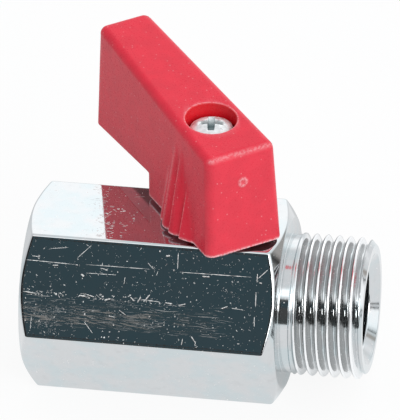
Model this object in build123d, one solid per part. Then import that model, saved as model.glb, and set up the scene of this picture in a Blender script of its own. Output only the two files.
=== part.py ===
from build123d import *
import os
from math import acos, asin, atan2, cos, degrees, radians, sin, sqrt, tan

# Drain tap: a small ball valve turned from hexagon bar, one female and one male pipe end, with a
# moulded lever. Millimetres, +Z up. The origin is on the bottom flat, straight below the stem's
# axis. The flow axis is parallel to X, and the male end points to +X.

# Hexagon bar
hex_across_flats = 21.0
hex_female_reach = 21.5
hex_male_reach = 8.8
hex_chamfer_circle = 20.2
hex_chamfer_angle = 30.0

# Male end, G 3/8 parallel pipe thread drawn at its major diameter
thread_major = 16.662
thread_minor = 14.950
neck_length = 1.2
neck_relief = 0.18
male_length = 9.8
male_end_chamfer = 0.8
male_bore = 11.0
male_mouth_chamfer = 1.1

# Female end, the same thread drawn at its minor diameter
female_mouth_chamfer = 1.0
drill_point_angle = 118.0

# Ball, seats and the ring that holds them
ball_diameter = 13.0
port_diameter = 8.0
ball_clearance = 0.12
chamber_wall_gap = 0.5
seat_bore = 8.4
seat_collar_gap = 0.3
seat_back = 6.6
seat_fit = 0.05
retainer_step = 0.1
retainer_thickness = 3.2
retainer_fit = 0.05
retainer_sink = 0.3
retainer_slot_width = 1.6
retainer_slot_depth = 1.2

# Stem
stem_diameter = 6.0
stem_running_fit = 0.05
collar_diameter = 7.6
collar_thickness = 1.0
collar_lift = 0.2
collar_pocket_clearance = 0.25
end_float = 0.05
washer_thickness = 0.5
washer_clearance = 0.1
tongue_width = 2.5
tongue_fit = 0.05
tongue_depth = 1.45
slot_bottom_gap = 0.15
ring_section = 1.1
ring_groove_spare = 0.3
ring_groove_inset = 0.4
stem_flats = 4.4
stem_rise = 6.4
stem_flat_start = 0.4

# Stop pin, pressed into the top flat
pin_diameter = 1.5
pin_circle_radius = 4.4
pin_bearing = -52.0
pin_press_depth = 1.8
pin_height = 1.7
pin_fit = 0.01
stop_slack = 1.5

# Lever, given in its own frame: the stem's axis is its origin, the grip runs along its +X
lever_rest_bearing = 128.0
lever_open_bearing = 180.0
lever_closed_bearing = 90.0
lever_gap = 0.5
hub_reach = 8.05
hub_far_reach = 8.6
lever_height = 13.45
lever_top_slope = 5.7
lever_end_draft = 2.65
lever_side_draft = 1.9
lever_taper = 2.2
lever_half_width = 4.62
grip_reach = 22.1
grip_lift = 3.0
grip_droop = 3.4
lever_corner_radius = 1.0
lever_top_radius = 0.9
socket_fit = 0.05
socket_head_room = 0.2
stop_groove_side = 0.25
stop_groove_roof = 0.3

# Fluted boss on both sides of the hub, each flute at an offset along the grip
boss_radius = 6.2
boss_top_radius = 4.25
boss_height = 10.6
flute_offsets = (1.65, -0.3, -2.1)
flute_depth = 0.45
flute_steep_side = 0.2
flute_gentle_side = 2.2

# Lever screw, M2.5 pan head with a cross recess
screw_diameter = 2.5
screw_length = 10.0
screw_head_diameter = 4.9
screw_head_height = 1.7
screw_head_rim = 0.9
screw_head_sink = 0.45
screw_clearance = 0.3
screw_thread_fit = 0.05
counterbore_diameter = 5.96
counterbore_rim_radius = 0.25
recess_span = 2.7
recess_width = 0.6
recess_depth = 1.0
recess_turn = -30.0

# Worked out from the values above
axis_height = hex_across_flats / 2
hex_corner_radius = hex_across_flats / sqrt(3)
male_end = hex_male_reach + male_length
ball_radius = ball_diameter / 2
chamber_radius = ball_radius + chamber_wall_gap
seat_radius = chamber_radius - seat_fit
seat_front = collar_diameter / 2 + seat_collar_gap
socket_radius = ball_radius + ball_clearance
retainer_housing = chamber_radius + retainer_step
retainer_radius = retainer_housing - retainer_fit
retainer_face = -seat_back - retainer_thickness
female_bore_end = retainer_face - retainer_sink
collar_bottom = axis_height + ball_radius + collar_lift
collar_top = collar_bottom + collar_thickness
washer_bottom = collar_top + end_float
pocket_top = washer_bottom + washer_thickness
pocket_radius = collar_diameter / 2 + collar_pocket_clearance
stem_hole_radius = stem_diameter / 2 + stem_running_fit
tongue_bottom = axis_height + ball_radius - tongue_depth
slot_bottom = tongue_bottom - slot_bottom_gap
ring_groove_bottom = pocket_top + ring_groove_inset
ring_groove_height = ring_section + ring_groove_spare
ring_centre_radius = stem_diameter / 2 - ring_section / 2
stem_top = hex_across_flats + stem_rise
lever_bottom = hex_across_flats + lever_gap
lever_top = lever_bottom + lever_height
socket_top = stem_top + socket_head_room
screw_seat = lever_top - screw_head_sink - screw_head_height
screw_end = screw_seat - screw_length
pin_top = hex_across_flats + pin_height
groove_roof = pin_top + stop_groove_roof


def about_flow_axis(points):
    """Turn a closed outline of (x, radius) points about the flow axis."""
    with_height = [(x, axis_height + radius) for x, radius in points]
    outline = Plane.XZ * make_face(Polyline(*with_height, close=True))
    return revolve(outline, Axis((0, 0, axis_height), (1, 0, 0)))


def about_stem_axis(points):
    """Turn a closed outline of (radius, height) points about the stem's axis."""
    outline = Plane.XZ * make_face(Polyline(*points, close=True))
    return revolve(outline, Axis.Z)


def upright(radius, bottom, top, x=0.0, y=0.0):
    """A round bar or hole that stands between two heights."""
    return Pos(x, y, (bottom + top) / 2) * Cylinder(radius, top - bottom)


def block(length, width, bottom, top, bearing=0.0):
    """A bar centred on the stem's axis, between two heights, turned to a bearing."""
    return Rot(0, 0, bearing) * Pos(0, 0, (bottom + top) / 2) * Box(length, width, top - bottom)


def at_bearing(radius, bearing):
    """The plan position of a point at a radius and bearing from the stem's axis."""
    return radius * cos(radians(bearing)), radius * sin(radians(bearing))


def make_valve_body():
    """Hexagon bar with both pipe ends, the ball chamber and the stem's stepped hole."""
    hexagon = Plane.YZ * RegularPolygon(hex_across_flats / 2, 6, major_radius=False)
    bar = Pos(-hex_female_reach, 0, axis_height) * extrude(hexagon, hex_female_reach + hex_male_reach)
    clear_radius = 2 * hex_corner_radius
    cone_run = (clear_radius - hex_chamfer_circle / 2) * tan(radians(hex_chamfer_angle))
    both_cones = about_flow_axis([
        (-hex_female_reach, 0),
        (-hex_female_reach, hex_chamfer_circle / 2),
        (-hex_female_reach + cone_run, clear_radius),
        (hex_male_reach - cone_run, clear_radius),
        (hex_male_reach, hex_chamfer_circle / 2),
        (hex_male_reach, 0),
    ])
    thread_start = hex_male_reach + neck_length
    spigot = about_flow_axis([
        (0, 0),
        (0, thread_major / 2 - neck_relief),
        (thread_start, thread_major / 2 - neck_relief),
        (thread_start, thread_major / 2),
        (male_end - male_end_chamfer, thread_major / 2),
        (male_end, thread_major / 2 - male_end_chamfer),
        (male_end, 0),
    ])
    point_run = (male_bore - seat_bore) / 2 / tan(radians(drill_point_angle / 2))
    passage = about_flow_axis([
        (-hex_female_reach, 0),
        (-hex_female_reach, thread_minor / 2 + female_mouth_chamfer),
        (-hex_female_reach + female_mouth_chamfer, thread_minor / 2),
        (female_bore_end, thread_minor / 2),
        (female_bore_end, retainer_housing),
        (-seat_back, retainer_housing),
        (-seat_back, chamber_radius),
        (seat_back, chamber_radius),
        (seat_back, seat_bore / 2),
        (hex_male_reach, seat_bore / 2),
        (hex_male_reach + point_run, male_bore / 2),
        (male_end - male_mouth_chamfer, male_bore / 2),
        (male_end, male_bore / 2 + male_mouth_chamfer),
        (male_end, 0),
    ])
    pin_x, pin_y = at_bearing(pin_circle_radius, pin_bearing)
    pin_hole = upright(pin_diameter / 2 + pin_fit, hex_across_flats - pin_press_depth,
                       hex_across_flats + pin_height, pin_x, pin_y)
    stem_hole = upright(stem_hole_radius, axis_height, lever_bottom)
    collar_pocket = upright(pocket_radius, axis_height, pocket_top)
    return (bar & both_cones) + spigot - passage - stem_hole - collar_pocket - pin_hole


def make_outlet_seat():
    """A soft ring with a hollow face that follows the ball."""
    mouth = seat_bore / 2
    mouth_x = sqrt(socket_radius ** 2 - mouth ** 2)
    lip = sqrt(socket_radius ** 2 - seat_front ** 2)
    middle = (atan2(mouth, mouth_x) + atan2(lip, seat_front)) / 2
    hollow = ThreePointArc(
        (mouth_x, axis_height + mouth),
        (socket_radius * cos(middle), axis_height + socket_radius * sin(middle)),
        (seat_front, axis_height + lip),
    )
    rest = Polyline(
        (seat_front, axis_height + lip),
        (seat_front, axis_height + seat_radius),
        (seat_back, axis_height + seat_radius),
        (seat_back, axis_height + mouth),
        (mouth_x, axis_height + mouth),
    )
    return revolve(Plane.XZ * make_face([hollow, rest]), Axis((0, 0, axis_height), (1, 0, 0)))


def make_inlet_seat():
    """The same ring, facing the other way."""
    return mirror(make_outlet_seat(), about=Plane.YZ)


def make_seat_retainer():
    """Screwed ring behind the inlet seat, slotted across its face for a flat key."""
    ring = about_flow_axis([
        (retainer_face, seat_bore / 2),
        (retainer_face, retainer_radius),
        (-seat_back, retainer_radius),
        (-seat_back, seat_bore / 2),
    ])
    key_slot = Box(2 * retainer_slot_depth, 4 * retainer_radius, retainer_slot_width)
    slot = Pos(retainer_face, 0, axis_height) * key_slot
    return ring - slot


def make_ball():
    """Ball with a through port, which follows the lever, and a cross slot for the stem."""
    port = Cylinder(port_diameter / 2, 2 * ball_diameter, rotation=(0, 90, 0))
    drilled = Sphere(ball_radius) - Rot(0, 0, lever_rest_bearing) * port
    slot = block(2 * ball_diameter, tongue_width + 2 * tongue_fit, slot_bottom,
                 slot_bottom + ball_diameter, lever_rest_bearing + 90)
    return Pos(0, 0, axis_height) * drilled - slot


def make_stem():
    """Stem put in from inside: tongue, collar, ring groove, double flat and a tapped hole."""
    shaft = about_stem_axis([
        (0, collar_bottom),
        (collar_diameter / 2, collar_bottom),
        (collar_diameter / 2, collar_top),
        (stem_diameter / 2, collar_top),
        (stem_diameter / 2, ring_groove_bottom),
        (stem_diameter / 2 - ring_section, ring_groove_bottom),
        (stem_diameter / 2 - ring_section, ring_groove_bottom + ring_groove_height),
        (stem_diameter / 2, ring_groove_bottom + ring_groove_height),
        (stem_diameter / 2, stem_top),
        (0, stem_top),
    ])
    tongue = block(collar_diameter, tongue_width, tongue_bottom, collar_bottom + collar_thickness / 2,
                   lever_rest_bearing + 90)
    tongue &= upright(stem_diameter / 2, tongue_bottom, collar_top)
    flat_start = hex_across_flats + stem_flat_start
    beside = block(2 * stem_diameter, 2 * stem_diameter, flat_start, stem_top, lever_rest_bearing)
    beside -= block(3 * stem_diameter, stem_flats, flat_start, stem_top, lever_rest_bearing)
    tapped_hole = upright(screw_diameter / 2 + screw_thread_fit, screw_end - screw_diameter / 2, stem_top)
    return shaft + tongue - beside - tapped_hole


def make_thrust_washer():
    """Slippery washer between the stem's collar and the body."""
    ring = upright(pocket_radius - washer_clearance, washer_bottom, pocket_top)
    return ring - upright(stem_hole_radius, washer_bottom, pocket_top)


def make_stem_ring():
    """Rubber ring in the stem's groove."""
    middle = ring_groove_bottom + ring_groove_height / 2
    return Pos(0, 0, middle) * Torus(ring_centre_radius, ring_section / 2)


def make_stop_pin():
    """Pin that stands up from the top flat into the lever's groove."""
    pin_x, pin_y = at_bearing(pin_circle_radius, pin_bearing)
    return upright(pin_diameter / 2, hex_across_flats - pin_press_depth, pin_top, pin_x, pin_y)


def lever_half_width_at(reach, rise):
    """Half the lever's width at a reach along the grip and a rise above its underside."""
    return lever_half_width - reach * tan(radians(lever_taper)) - rise * tan(radians(lever_side_draft))


def make_lever_blade():
    """Drafted and tapered blade: hub and grip in one, with rounded upper edges."""
    end_lean = tan(radians(lever_end_draft))
    climb = tan(radians(lever_top_slope))
    near_top = lever_height - hub_reach * climb
    far_top = lever_height + grip_reach * climb
    near_x = -hub_reach + near_top * end_lean
    droop = tan(radians(grip_droop))
    grip_start = hub_far_reach + grip_lift * end_lean
    far_foot = grip_reach + (far_top - grip_lift - grip_start * droop) * end_lean
    far_foot /= 1 - droop * end_lean
    side_view = Plane.XZ * make_face(Polyline(
        (-hub_reach, 0),
        (hub_far_reach, 0),
        (grip_start, grip_lift),
        (far_foot, grip_lift - (far_foot - grip_start) * droop),
        (grip_reach, far_top),
        (near_x, near_top),
        close=True,
    ))
    prism = extrude(side_view, boss_radius, both=True)
    plans = []
    for rise in (0, far_top):
        near_half = lever_half_width_at(-hub_reach, rise)
        far_half = lever_half_width_at(far_foot, rise)
        plans.append(Plane.XY.offset(rise) * make_face(Polyline(
            (-hub_reach, -near_half),
            (far_foot, -far_half),
            (far_foot, far_half),
            (-hub_reach, near_half),
            close=True,
        )))
    blade = prism & loft(plans, ruled=True)
    ends = blade.edges().filter_by(lambda edge: abs(edge.tangent_at(0.5).Z) > 0.9)
    ends = ends.sort_by(Axis.X)
    blade = fillet(ends[:2] + ends[-2:], lever_corner_radius)
    top_face = blade.faces().filter_by(lambda face: face.normal_at().Z > 0.9)[0]
    return fillet(top_face.edges(), lever_top_radius)


def make_boss():
    """Cone round the stem, with saw-tooth flutes in planes across the grip on each side."""
    boss = Pos(0, 0, boss_height / 2) * Cone(boss_radius, boss_top_radius, boss_height)
    for offset in flute_offsets:
        teeth = []
        for radius, rise in ((boss_radius, 0), (boss_top_radius, boss_height)):
            bearing = degrees(acos(offset / radius))
            teeth.append(Plane.XY.offset(rise) * Rot(0, 0, bearing) * make_face(Polyline(
                (radius - flute_depth, 0),
                (radius + flute_depth, flute_steep_side),
                (radius + flute_depth, -flute_gentle_side),
                close=True,
            )))
        flute = loft(teeth, ruled=True)
        boss -= flute
        boss -= mirror(flute, about=Plane.XZ)
    return boss


def make_stop_groove():
    """Arc in the hub's underside that the stop pin runs in, from closed to open."""
    pin_half_turn = degrees(asin(pin_diameter / 2 / pin_circle_radius))
    end_room = pin_half_turn + stop_slack
    travel = lever_open_bearing - lever_closed_bearing + 2 * end_room
    start = pin_bearing - lever_open_bearing - end_room
    half_width = pin_diameter / 2 + stop_groove_side
    section = Plane.XZ * Pos(pin_circle_radius, (groove_roof - lever_bottom) / 2) * Rectangle(
        2 * half_width, groove_roof - lever_bottom)
    return Rot(0, 0, start) * revolve(section, Axis.Z, travel)


def make_handle():
    """The moulded lever, turned to its rest bearing above the body."""
    handle = make_lever_blade() + make_boss()
    handle -= make_stop_groove()
    handle = Rot(0, 0, lever_rest_bearing) * handle
    handle = Pos(0, 0, lever_bottom) * handle
    socket = upright(stem_diameter / 2 + socket_fit, lever_bottom, socket_top)
    socket &= block(2 * stem_diameter, stem_flats + 2 * socket_fit, lever_bottom, socket_top,
                    lever_rest_bearing)
    screw_hole = upright(screw_diameter / 2 + screw_clearance, lever_bottom, lever_top)
    counterbore = upright(counterbore_diameter / 2, screw_seat, lever_top + lever_height)
    handle = handle - socket - screw_hole - counterbore
    rim = handle.edges().filter_by(GeomType.ELLIPSE).sort_by(Axis.Z)[-1]
    return fillet(rim, counterbore_rim_radius)


def make_handle_screw():
    """Pan head screw with a domed top and a cross recess."""
    rim = screw_seat + screw_head_rim
    crown = screw_seat + screw_head_height
    head_outline = Plane.XZ * make_face([
        Line((0, screw_end), (screw_diameter / 2, screw_end)),
        Line((screw_diameter / 2, screw_end), (screw_diameter / 2, screw_seat)),
        Line((screw_diameter / 2, screw_seat), (screw_head_diameter / 2, screw_seat)),
        Line((screw_head_diameter / 2, screw_seat), (screw_head_diameter / 2, rim)),
        RadiusArc((screw_head_diameter / 2, rim), (0, crown), -screw_head_diameter),
        Line((0, crown), (0, screw_end)),
    ])
    screw = revolve(head_outline, Axis.Z)
    for square_turn in (0, 90):
        screw -= block(recess_span, recess_width, crown - recess_depth, crown + recess_depth,
                       lever_rest_bearing + recess_turn + square_turn)
    return screw


pieces = {
    "valve_body": make_valve_body(),
    "seat_retainer": make_seat_retainer(),
    "inlet_seat": make_inlet_seat(),
    "outlet_seat": make_outlet_seat(),
    "ball": make_ball(),
    "stem": make_stem(),
    "stem_thrust_washer": make_thrust_washer(),
    "stem_o_ring": make_stem_ring(),
    "stop_pin": make_stop_pin(),
    "handle": make_handle(),
    "handle_screw": make_handle_screw(),
}

os.makedirs("parts", exist_ok=True)
for name, shape in pieces.items():
    export_step(shape, f"parts/{name}.step")
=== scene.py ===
"""Looks of a small drain tap: a chrome plated hexagon body with pipe threads and a red lever.

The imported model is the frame. New surfaces are worked out in millimetres as whole arrays and put
into meshes in metres, in the frame's own axes: +Z up along the stem, +X along the flow axis.
"""

import logging
import math
from dataclasses import dataclass
from enum import Enum
from functools import reduce

import bmesh
import bpy
import numpy as np
from mathutils import Matrix, Vector


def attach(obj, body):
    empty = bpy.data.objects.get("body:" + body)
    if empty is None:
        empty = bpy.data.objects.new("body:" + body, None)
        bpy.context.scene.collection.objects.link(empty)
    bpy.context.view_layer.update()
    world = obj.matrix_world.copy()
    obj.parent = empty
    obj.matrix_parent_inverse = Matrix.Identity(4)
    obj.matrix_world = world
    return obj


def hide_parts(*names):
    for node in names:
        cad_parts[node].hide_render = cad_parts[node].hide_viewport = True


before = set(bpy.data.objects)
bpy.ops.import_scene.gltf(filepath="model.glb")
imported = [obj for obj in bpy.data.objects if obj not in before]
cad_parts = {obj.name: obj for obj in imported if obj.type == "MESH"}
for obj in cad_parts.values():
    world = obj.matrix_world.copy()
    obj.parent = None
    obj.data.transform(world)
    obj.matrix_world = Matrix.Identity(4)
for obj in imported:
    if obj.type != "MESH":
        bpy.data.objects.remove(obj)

LOG = logging.getLogger("drain_tap")
MM = 0.001
TURN = 2.0 * math.pi
SIXTH = math.pi / 3.0
IMAGE_WIDTH = 400
SHARP_DEG = 35.0
Array = np.ndarray
Level = Array | float
Span = tuple[float, float]
Triple = tuple[float, float, float]
Corner = tuple[Level, Level, float]
Steps = dict[str, tuple[float, ...]]
Socket = bpy.types.NodeSocket
Dress = tuple[Socket, Socket, Socket]
Material = bpy.types.Material

# Sizes that shapes and finishes share, in millimetres
HALF_FLATS = 10.5
CHAMFER_CIRCLE = 10.1
BAR_ENDS: Span = (-21.5, 8.8)
PITCH = 1.337
CREST_OFFSET = 0.64
COUNTERBORE = 2.98
SCREW_SEAT = 32.8

# The front and top flats: a point on the upper or rear edge, the way across and the way out
FRONT_EDGE, FRONT_DOWN, FRONT_OUT = (0.0, -6.062, 21.0), (0.0, -0.5, -0.866), (0.0, -0.866, 0.5)
TOP_EDGE, TOP_DOWN, TOP_OUT = (0.0, 6.062, 21.0), (0.0, -1.0, 0.0), (0.0, 0.0, 1.0)


class Body(Enum):
    """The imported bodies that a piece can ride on."""

    BARREL = "body"
    LEVER = "lever"


class Slot(Enum):
    """The record's material slot names; no piece here takes one."""

    CHROME = "chrome_plate"
    ZINC = "zinc_steel"
    NYLON = "red_nylon"


# Surfaces


@dataclass
class Patch:
    """A grid of points in mm, rows by columns by three, and each one's share of real marks and
    painted light.
    """

    points: Array
    wrap_rows: bool = False
    wrap_columns: bool = True
    wear_and_painted_light: Array | None = None

    def quads(self, first: int) -> Array:
        """Corner numbers of the cells (i, j) to (i + 1, j + 1), counted from first.

        Args:
            first: number of the patch's first point in the mesh.
        Returns:
            An array of four corners a cell.
        """
        rows, columns = self.points.shape[:2]
        i = np.arange(rows if self.wrap_rows else rows - 1)
        j = np.arange(columns if self.wrap_columns else columns - 1)
        i, j = np.meshgrid(i, j, indexing="ij")
        after, beside = (i + 1) % rows, (j + 1) % columns
        corners = [i * columns + j, i * columns + beside,
                   after * columns + beside, after * columns + j]
        return first + np.stack(corners, axis=-1).reshape(-1, 4)

    def worn_and_lit(self) -> Array:
        """The share of each point in turn, 0 where the patch has none."""
        wear_and_painted_light = 0.0 if self.wear_and_painted_light is None else self.wear_and_painted_light
        return np.broadcast_to(wear_and_painted_light, self.points.shape[:2]).ravel()


def smoothstep(value: Level, low: float, high: float) -> Level:
    """0 below low, 1 above high, and the cubic 3t^2 - 2t^3 between.

    Args:
        value: what is compared.
        low: where the step starts.
        high: where it ends.
    Returns:
        The step's height at each value.
    """
    t = np.clip((value - low) / (high - low), 0.0, 1.0)
    return t * t * (3.0 - 2.0 * t)


def soft_min(a: Level, b: Level, width: float) -> Array:
    """The smaller of two arrays, less a quarter of a width where they are equal.

    Args:
        a: first array.
        b: second array.
        width: difference over which the corner between them is rounded.
    Returns:
        min(a, b) less near^2 width / 4, near being 1 where they are equal and 0 a width apart.
    """
    near = np.clip(1.0 - np.abs(a - b) / width, 0.0, 1.0)
    return np.minimum(a, b) - near * near * width / 4.0


def bell(distance: Array, spread: float) -> Array:
    """A bell curve of a distance: exp(-(d / spread)^2)."""
    return np.exp(-(distance / spread) ** 2)


def full_turn(columns: int) -> Array:
    """Even angles round a full turn."""
    return np.linspace(0.0, TURN, columns, endpoint=False)


def round_track(rows: list[Corner], columns: int) -> tuple[Array, Array]:
    """Round the corners of a closed outline, one outline for each column of a grid.

    Each corner P with a size s becomes points of the quadratic curve from P + s a to P + s b, where
    a and b are the directions to its neighbours, with a supporting point just outside each end. A
    corner takes at most a third of a side.

    Args:
        rows: corners as (along, out, size), along and out being numbers or one value a column.
        columns: number of columns.
    Returns:
        The arrays along and out, rows by columns.
    """
    side_share, support, no_length = 0.33, 1.35, 1e-9
    t = np.linspace(0.0, 1.0, 5)[:, None, None]
    blank = np.zeros(columns)
    spots = np.stack([np.stack(np.broadcast_arrays(along, out, blank)[:2], axis=-1)
                      for along, out, _ in rows])

    def cut(way: Array, size: float) -> Array:
        """A step of the corner's size along a side."""
        length = np.linalg.norm(way, axis=-1, keepdims=True)
        return np.minimum(size, side_share * length) * way / np.maximum(length, no_length)

    made = []
    for spot, before, after, (_, _, size) in zip(
            spots, np.roll(spots, 1, axis=0), np.roll(spots, -1, axis=0), rows):
        if size == 0.0:
            made.append(spot[None])
            continue
        back, on = cut(before - spot, size), cut(after - spot, size)
        curve = spot + (1 - t) ** 2 * back + t ** 2 * on
        made += [(spot + support * back)[None], curve, (spot + support * on)[None]]
    joined = np.concatenate(made)
    return joined[..., 0], joined[..., 1]


def lathe(radius: Array, height: Array, angles: Array) -> Array:
    """Points (r cos a, r sin a, h) of a profile turned about the stem's axis.

    Args:
        radius: radius of each row, or of each row and column.
        height: height of each row, or of each row and column.
        angles: angle of each column.
    Returns:
        Points, rows by columns by three.
    """
    radius = np.broadcast_to(radius.reshape(len(radius), -1), (len(radius), len(angles)))
    height = np.broadcast_to(height.reshape(len(height), -1), radius.shape)
    return np.stack([radius * np.cos(angles), radius * np.sin(angles), height], axis=-1)


def about_stem(points: Array, bearing: float, lift: float) -> Array:
    """Points turned about the stem's axis, then lifted.

    Args:
        points: points, with three values in the last place.
        bearing: the angle in degrees.
        lift: how far up they move.
    Returns:
        The moved points.
    """
    cos, sin = math.cos(math.radians(bearing)), math.sin(math.radians(bearing))
    turn = np.array([(cos, -sin, 0.0), (sin, cos, 0.0), (0.0, 0.0, 1.0)])
    return points @ turn.T + (0.0, 0.0, lift)


def shade(mesh: bpy.types.Mesh, sharp_deg: float) -> None:
    """Shade a mesh smooth, apart from edges sharper than an angle."""
    mesh.shade_smooth()
    mesh.set_sharp_from_angle(angle=math.radians(sharp_deg))


def sew(name: str, patches: list[Patch], sharp_deg: float = SHARP_DEG) -> bpy.types.Object:
    """Join patches into one closed mesh object, welded at seams and poles, faces outwards.

    Args:
        name: the object's name.
        patches: grids in millimetres.
        sharp_deg: edges sharper than this stay sharp.
    Returns:
        The object, at the origin.
    """
    weld, sliver = 1e-7, 1e-8
    points = np.concatenate([patch.points.reshape(-1, 3) for patch in patches]) * MM
    counts = [patch.points.shape[0] * patch.points.shape[1] for patch in patches]
    firsts = np.concatenate([[0], np.cumsum(counts)[:-1]])
    quads = np.concatenate([patch.quads(int(first)) for patch, first in zip(patches, firsts)])
    mesh = bpy.data.meshes.new(name)
    mesh.vertices.add(len(points))
    mesh.vertices.foreach_set("co", points.ravel().astype(np.float32))
    mesh.loops.add(quads.size)
    mesh.loops.foreach_set("vertex_index", quads.ravel().astype(np.int32))
    mesh.polygons.add(len(quads))
    mesh.polygons.foreach_set("loop_start", np.arange(0, quads.size, 4, dtype=np.int32))
    mesh.update(calc_edges=True)
    if any(patch.wear_and_painted_light is not None for patch in patches):
        layer = mesh.attributes.new("wear_and_painted_light", "FLOAT", "POINT")
        worn_and_lit = np.concatenate([patch.worn_and_lit() for patch in patches])
        layer.data.foreach_set("value", worn_and_lit.astype(np.float32))
    cloth = bmesh.new()
    cloth.from_mesh(mesh)
    bmesh.ops.remove_doubles(cloth, verts=cloth.verts, dist=weld)
    bmesh.ops.dissolve_degenerate(cloth, edges=cloth.edges, dist=sliver)
    bmesh.ops.recalc_face_normals(cloth, faces=cloth.faces)
    cloth.to_mesh(mesh)
    cloth.free()
    shade(mesh, sharp_deg)
    piece = bpy.data.objects.new(name, mesh)
    bpy.context.scene.collection.objects.link(piece)
    return piece


def drill(piece: bpy.types.Object, cutter: bpy.types.Object) -> None:
    """Cut one closed mesh out of another for good, and remove the cutter.

    Args:
        piece: what is cut.
        cutter: the shape of the hole.
    """
    cut = piece.modifiers.new("cut", "BOOLEAN")
    cut.operation = "DIFFERENCE"
    cut.solver = "EXACT"
    cut.object = cutter
    whole = piece.data
    shown = piece.evaluated_get(bpy.context.evaluated_depsgraph_get())
    drilled = bpy.data.meshes.new_from_object(shown)
    piece.modifiers.remove(cut)
    piece.data = drilled
    drilled.name = piece.name
    bpy.data.meshes.remove(whole)
    bpy.data.meshes.remove(cutter.data)
    shade(drilled, SHARP_DEG)


def settle(piece: bpy.types.Object, body: Body, node: str | None,
           coat: Material) -> None:
    """Dress a new piece and tie it to the frame.

    Args:
        piece: the new piece.
        body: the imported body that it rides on.
        node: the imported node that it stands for, if any.
        coat: its material.
    """
    piece.data.materials.clear()
    piece.data.materials.append(coat)
    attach(piece, body.value)
    if node:
        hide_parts(node)
    LOG.info("%s: %d faces on %s", piece.name, len(piece.data.polygons), body.value)


# Node boards and shared effects


class Board:
    """Adds and links nodes in one node tree."""

    def __init__(self, tree: bpy.types.NodeTree) -> None:
        """Work on a tree, from an empty board."""
        self.tree = tree
        tree.nodes.clear()

    def put(self, kind: str, inputs: dict | None = None, **settings: object) -> bpy.types.Node:
        """Add a node, set its properties and fill its inputs.

        Args:
            kind: the node's type name without the prefix ShaderNode.
            inputs: values, or sockets to link from, by input name or number.
            settings: properties of the node.
        Returns:
            The node.
        """
        node = self.tree.nodes.new(kind if kind.startswith("Node") else "ShaderNode" + kind)
        for name, value in settings.items():
            setattr(node, name, value)
        for key, value in (inputs or {}).items():
            socket = node.inputs[key]
            if isinstance(value, Socket):
                self.tree.links.new(value, socket)
            else:
                socket.default_value = (*value, 1.0) if socket.type == "RGBA" else value
        return node

    def math(self, operation: str, *values: object, clamp: bool = False) -> Socket:
        """The result of a Math node on up to three values or sockets."""
        inputs = dict(enumerate(values))
        return self.put("Math", inputs, operation=operation, use_clamp=clamp).outputs[0]

    def times(self, *factors: object) -> Socket:
        """The product of several values or sockets."""
        return reduce(lambda a, b: self.math("MULTIPLY", a, b), factors)

    def plus(self, base: object, *extras: tuple[object, object]) -> Socket:
        """A base with extras added, each a share times an amount."""
        return reduce(lambda sum_, extra: self.math("MULTIPLY_ADD", *extra, sum_), extras, base)

    def less(self, a: object, b: object) -> Socket:
        """The difference a - b."""
        return self.math("SUBTRACT", a, b)

    def length(self, a: object, b: object) -> Socket:
        """The length of two sides at a right angle: the root of a^2 + b^2."""
        squares = [self.math("POWER", side, 2.0) for side in (a, b)]
        return self.math("SQRT", self.math("ADD", *squares))

    def ramp(self, value: object, low: float, high: float, to_low: float = 0.0,
             to_high: float = 1.0) -> Socket:
        """A value mapped smoothly from one range onto another, held at its ends."""
        inputs = dict(zip(range(5), (value, low, high, to_low, to_high)))
        return self.put("MapRange", inputs, interpolation_type="SMOOTHSTEP").outputs["Result"]

    def spread(self, field: object, to_low: float = 0.0, to_high: float = 1.0) -> Socket:
        """A noise's usual range, 0.3 to 0.7, mapped onto another."""
        return self.ramp(field, 0.3, 0.7, to_low, to_high)

    def window(self, value: object, low: float, high: float, soft: float) -> Socket:
        """1 between two values and 0 outside them, with soft ends."""
        return self.times(self.ramp(value, low - soft, low + soft),
                          self.ramp(value, high + soft, high - soft))

    def zone(self, places: dict[str, Socket], steps: Steps) -> Socket:
        """The product of one step a coordinate: a ramp from two numbers, a window from three.

        Args:
            places: the coordinates' sockets by name.
            steps: (low, high) or (low, high, softness) by the same names.
        Returns:
            The mask's socket.
        """
        return self.times(*((self.window if len(step) == 3 else self.ramp)(places[name], *step)
                            for name, step in steps.items()))

    def mix(self, share: object, a: object, b: object) -> Socket:
        """Colour a turning into colour b by a share."""
        return self.put("Mix", {0: share, 6: a, 7: b}, data_type="RGBA").outputs[2]

    def layers(self, colour: object, *coats: tuple[object, object]) -> Socket:
        """A colour with others laid over it in turn, each a share and a colour."""
        return reduce(lambda under, coat: self.mix(coat[0], under, coat[1]), coats, colour)

    def vector(self, operation: str, a: object, b: object) -> Socket:
        """The vector result of a Vector Math node."""
        return self.put("VectorMath", {0: a, 1: b}, operation=operation).outputs[0]

    def scale(self, vector: object, factor: object) -> Socket:
        """A vector times a number."""
        return self.put("VectorMath", {0: vector, 3: factor}, operation="SCALE").outputs[0]

    def dot(self, a: object, b: object) -> Socket:
        """The dot product of two vectors."""
        return self.put("VectorMath", {0: a, 1: b}, operation="DOT_PRODUCT").outputs["Value"]

    def split(self, vector: object) -> list[Socket]:
        """The three coordinates of a vector."""
        return list(self.put("SeparateXYZ", {0: vector}).outputs)

    def noise(self, vector: object, scale: float, detail: float) -> Socket:
        """The factor of a noise texture."""
        inputs = {"Vector": vector, "Scale": scale, "Detail": detail}
        return self.put("TexNoise", inputs).outputs[0]

    def wear_and_painted_light(self) -> Socket:
        """The mesh's own share of real marks and of painted light and shade, from 0 to 1."""
        return self.put("Attribute", attribute_name="wear_and_painted_light").outputs["Fac"]


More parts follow.
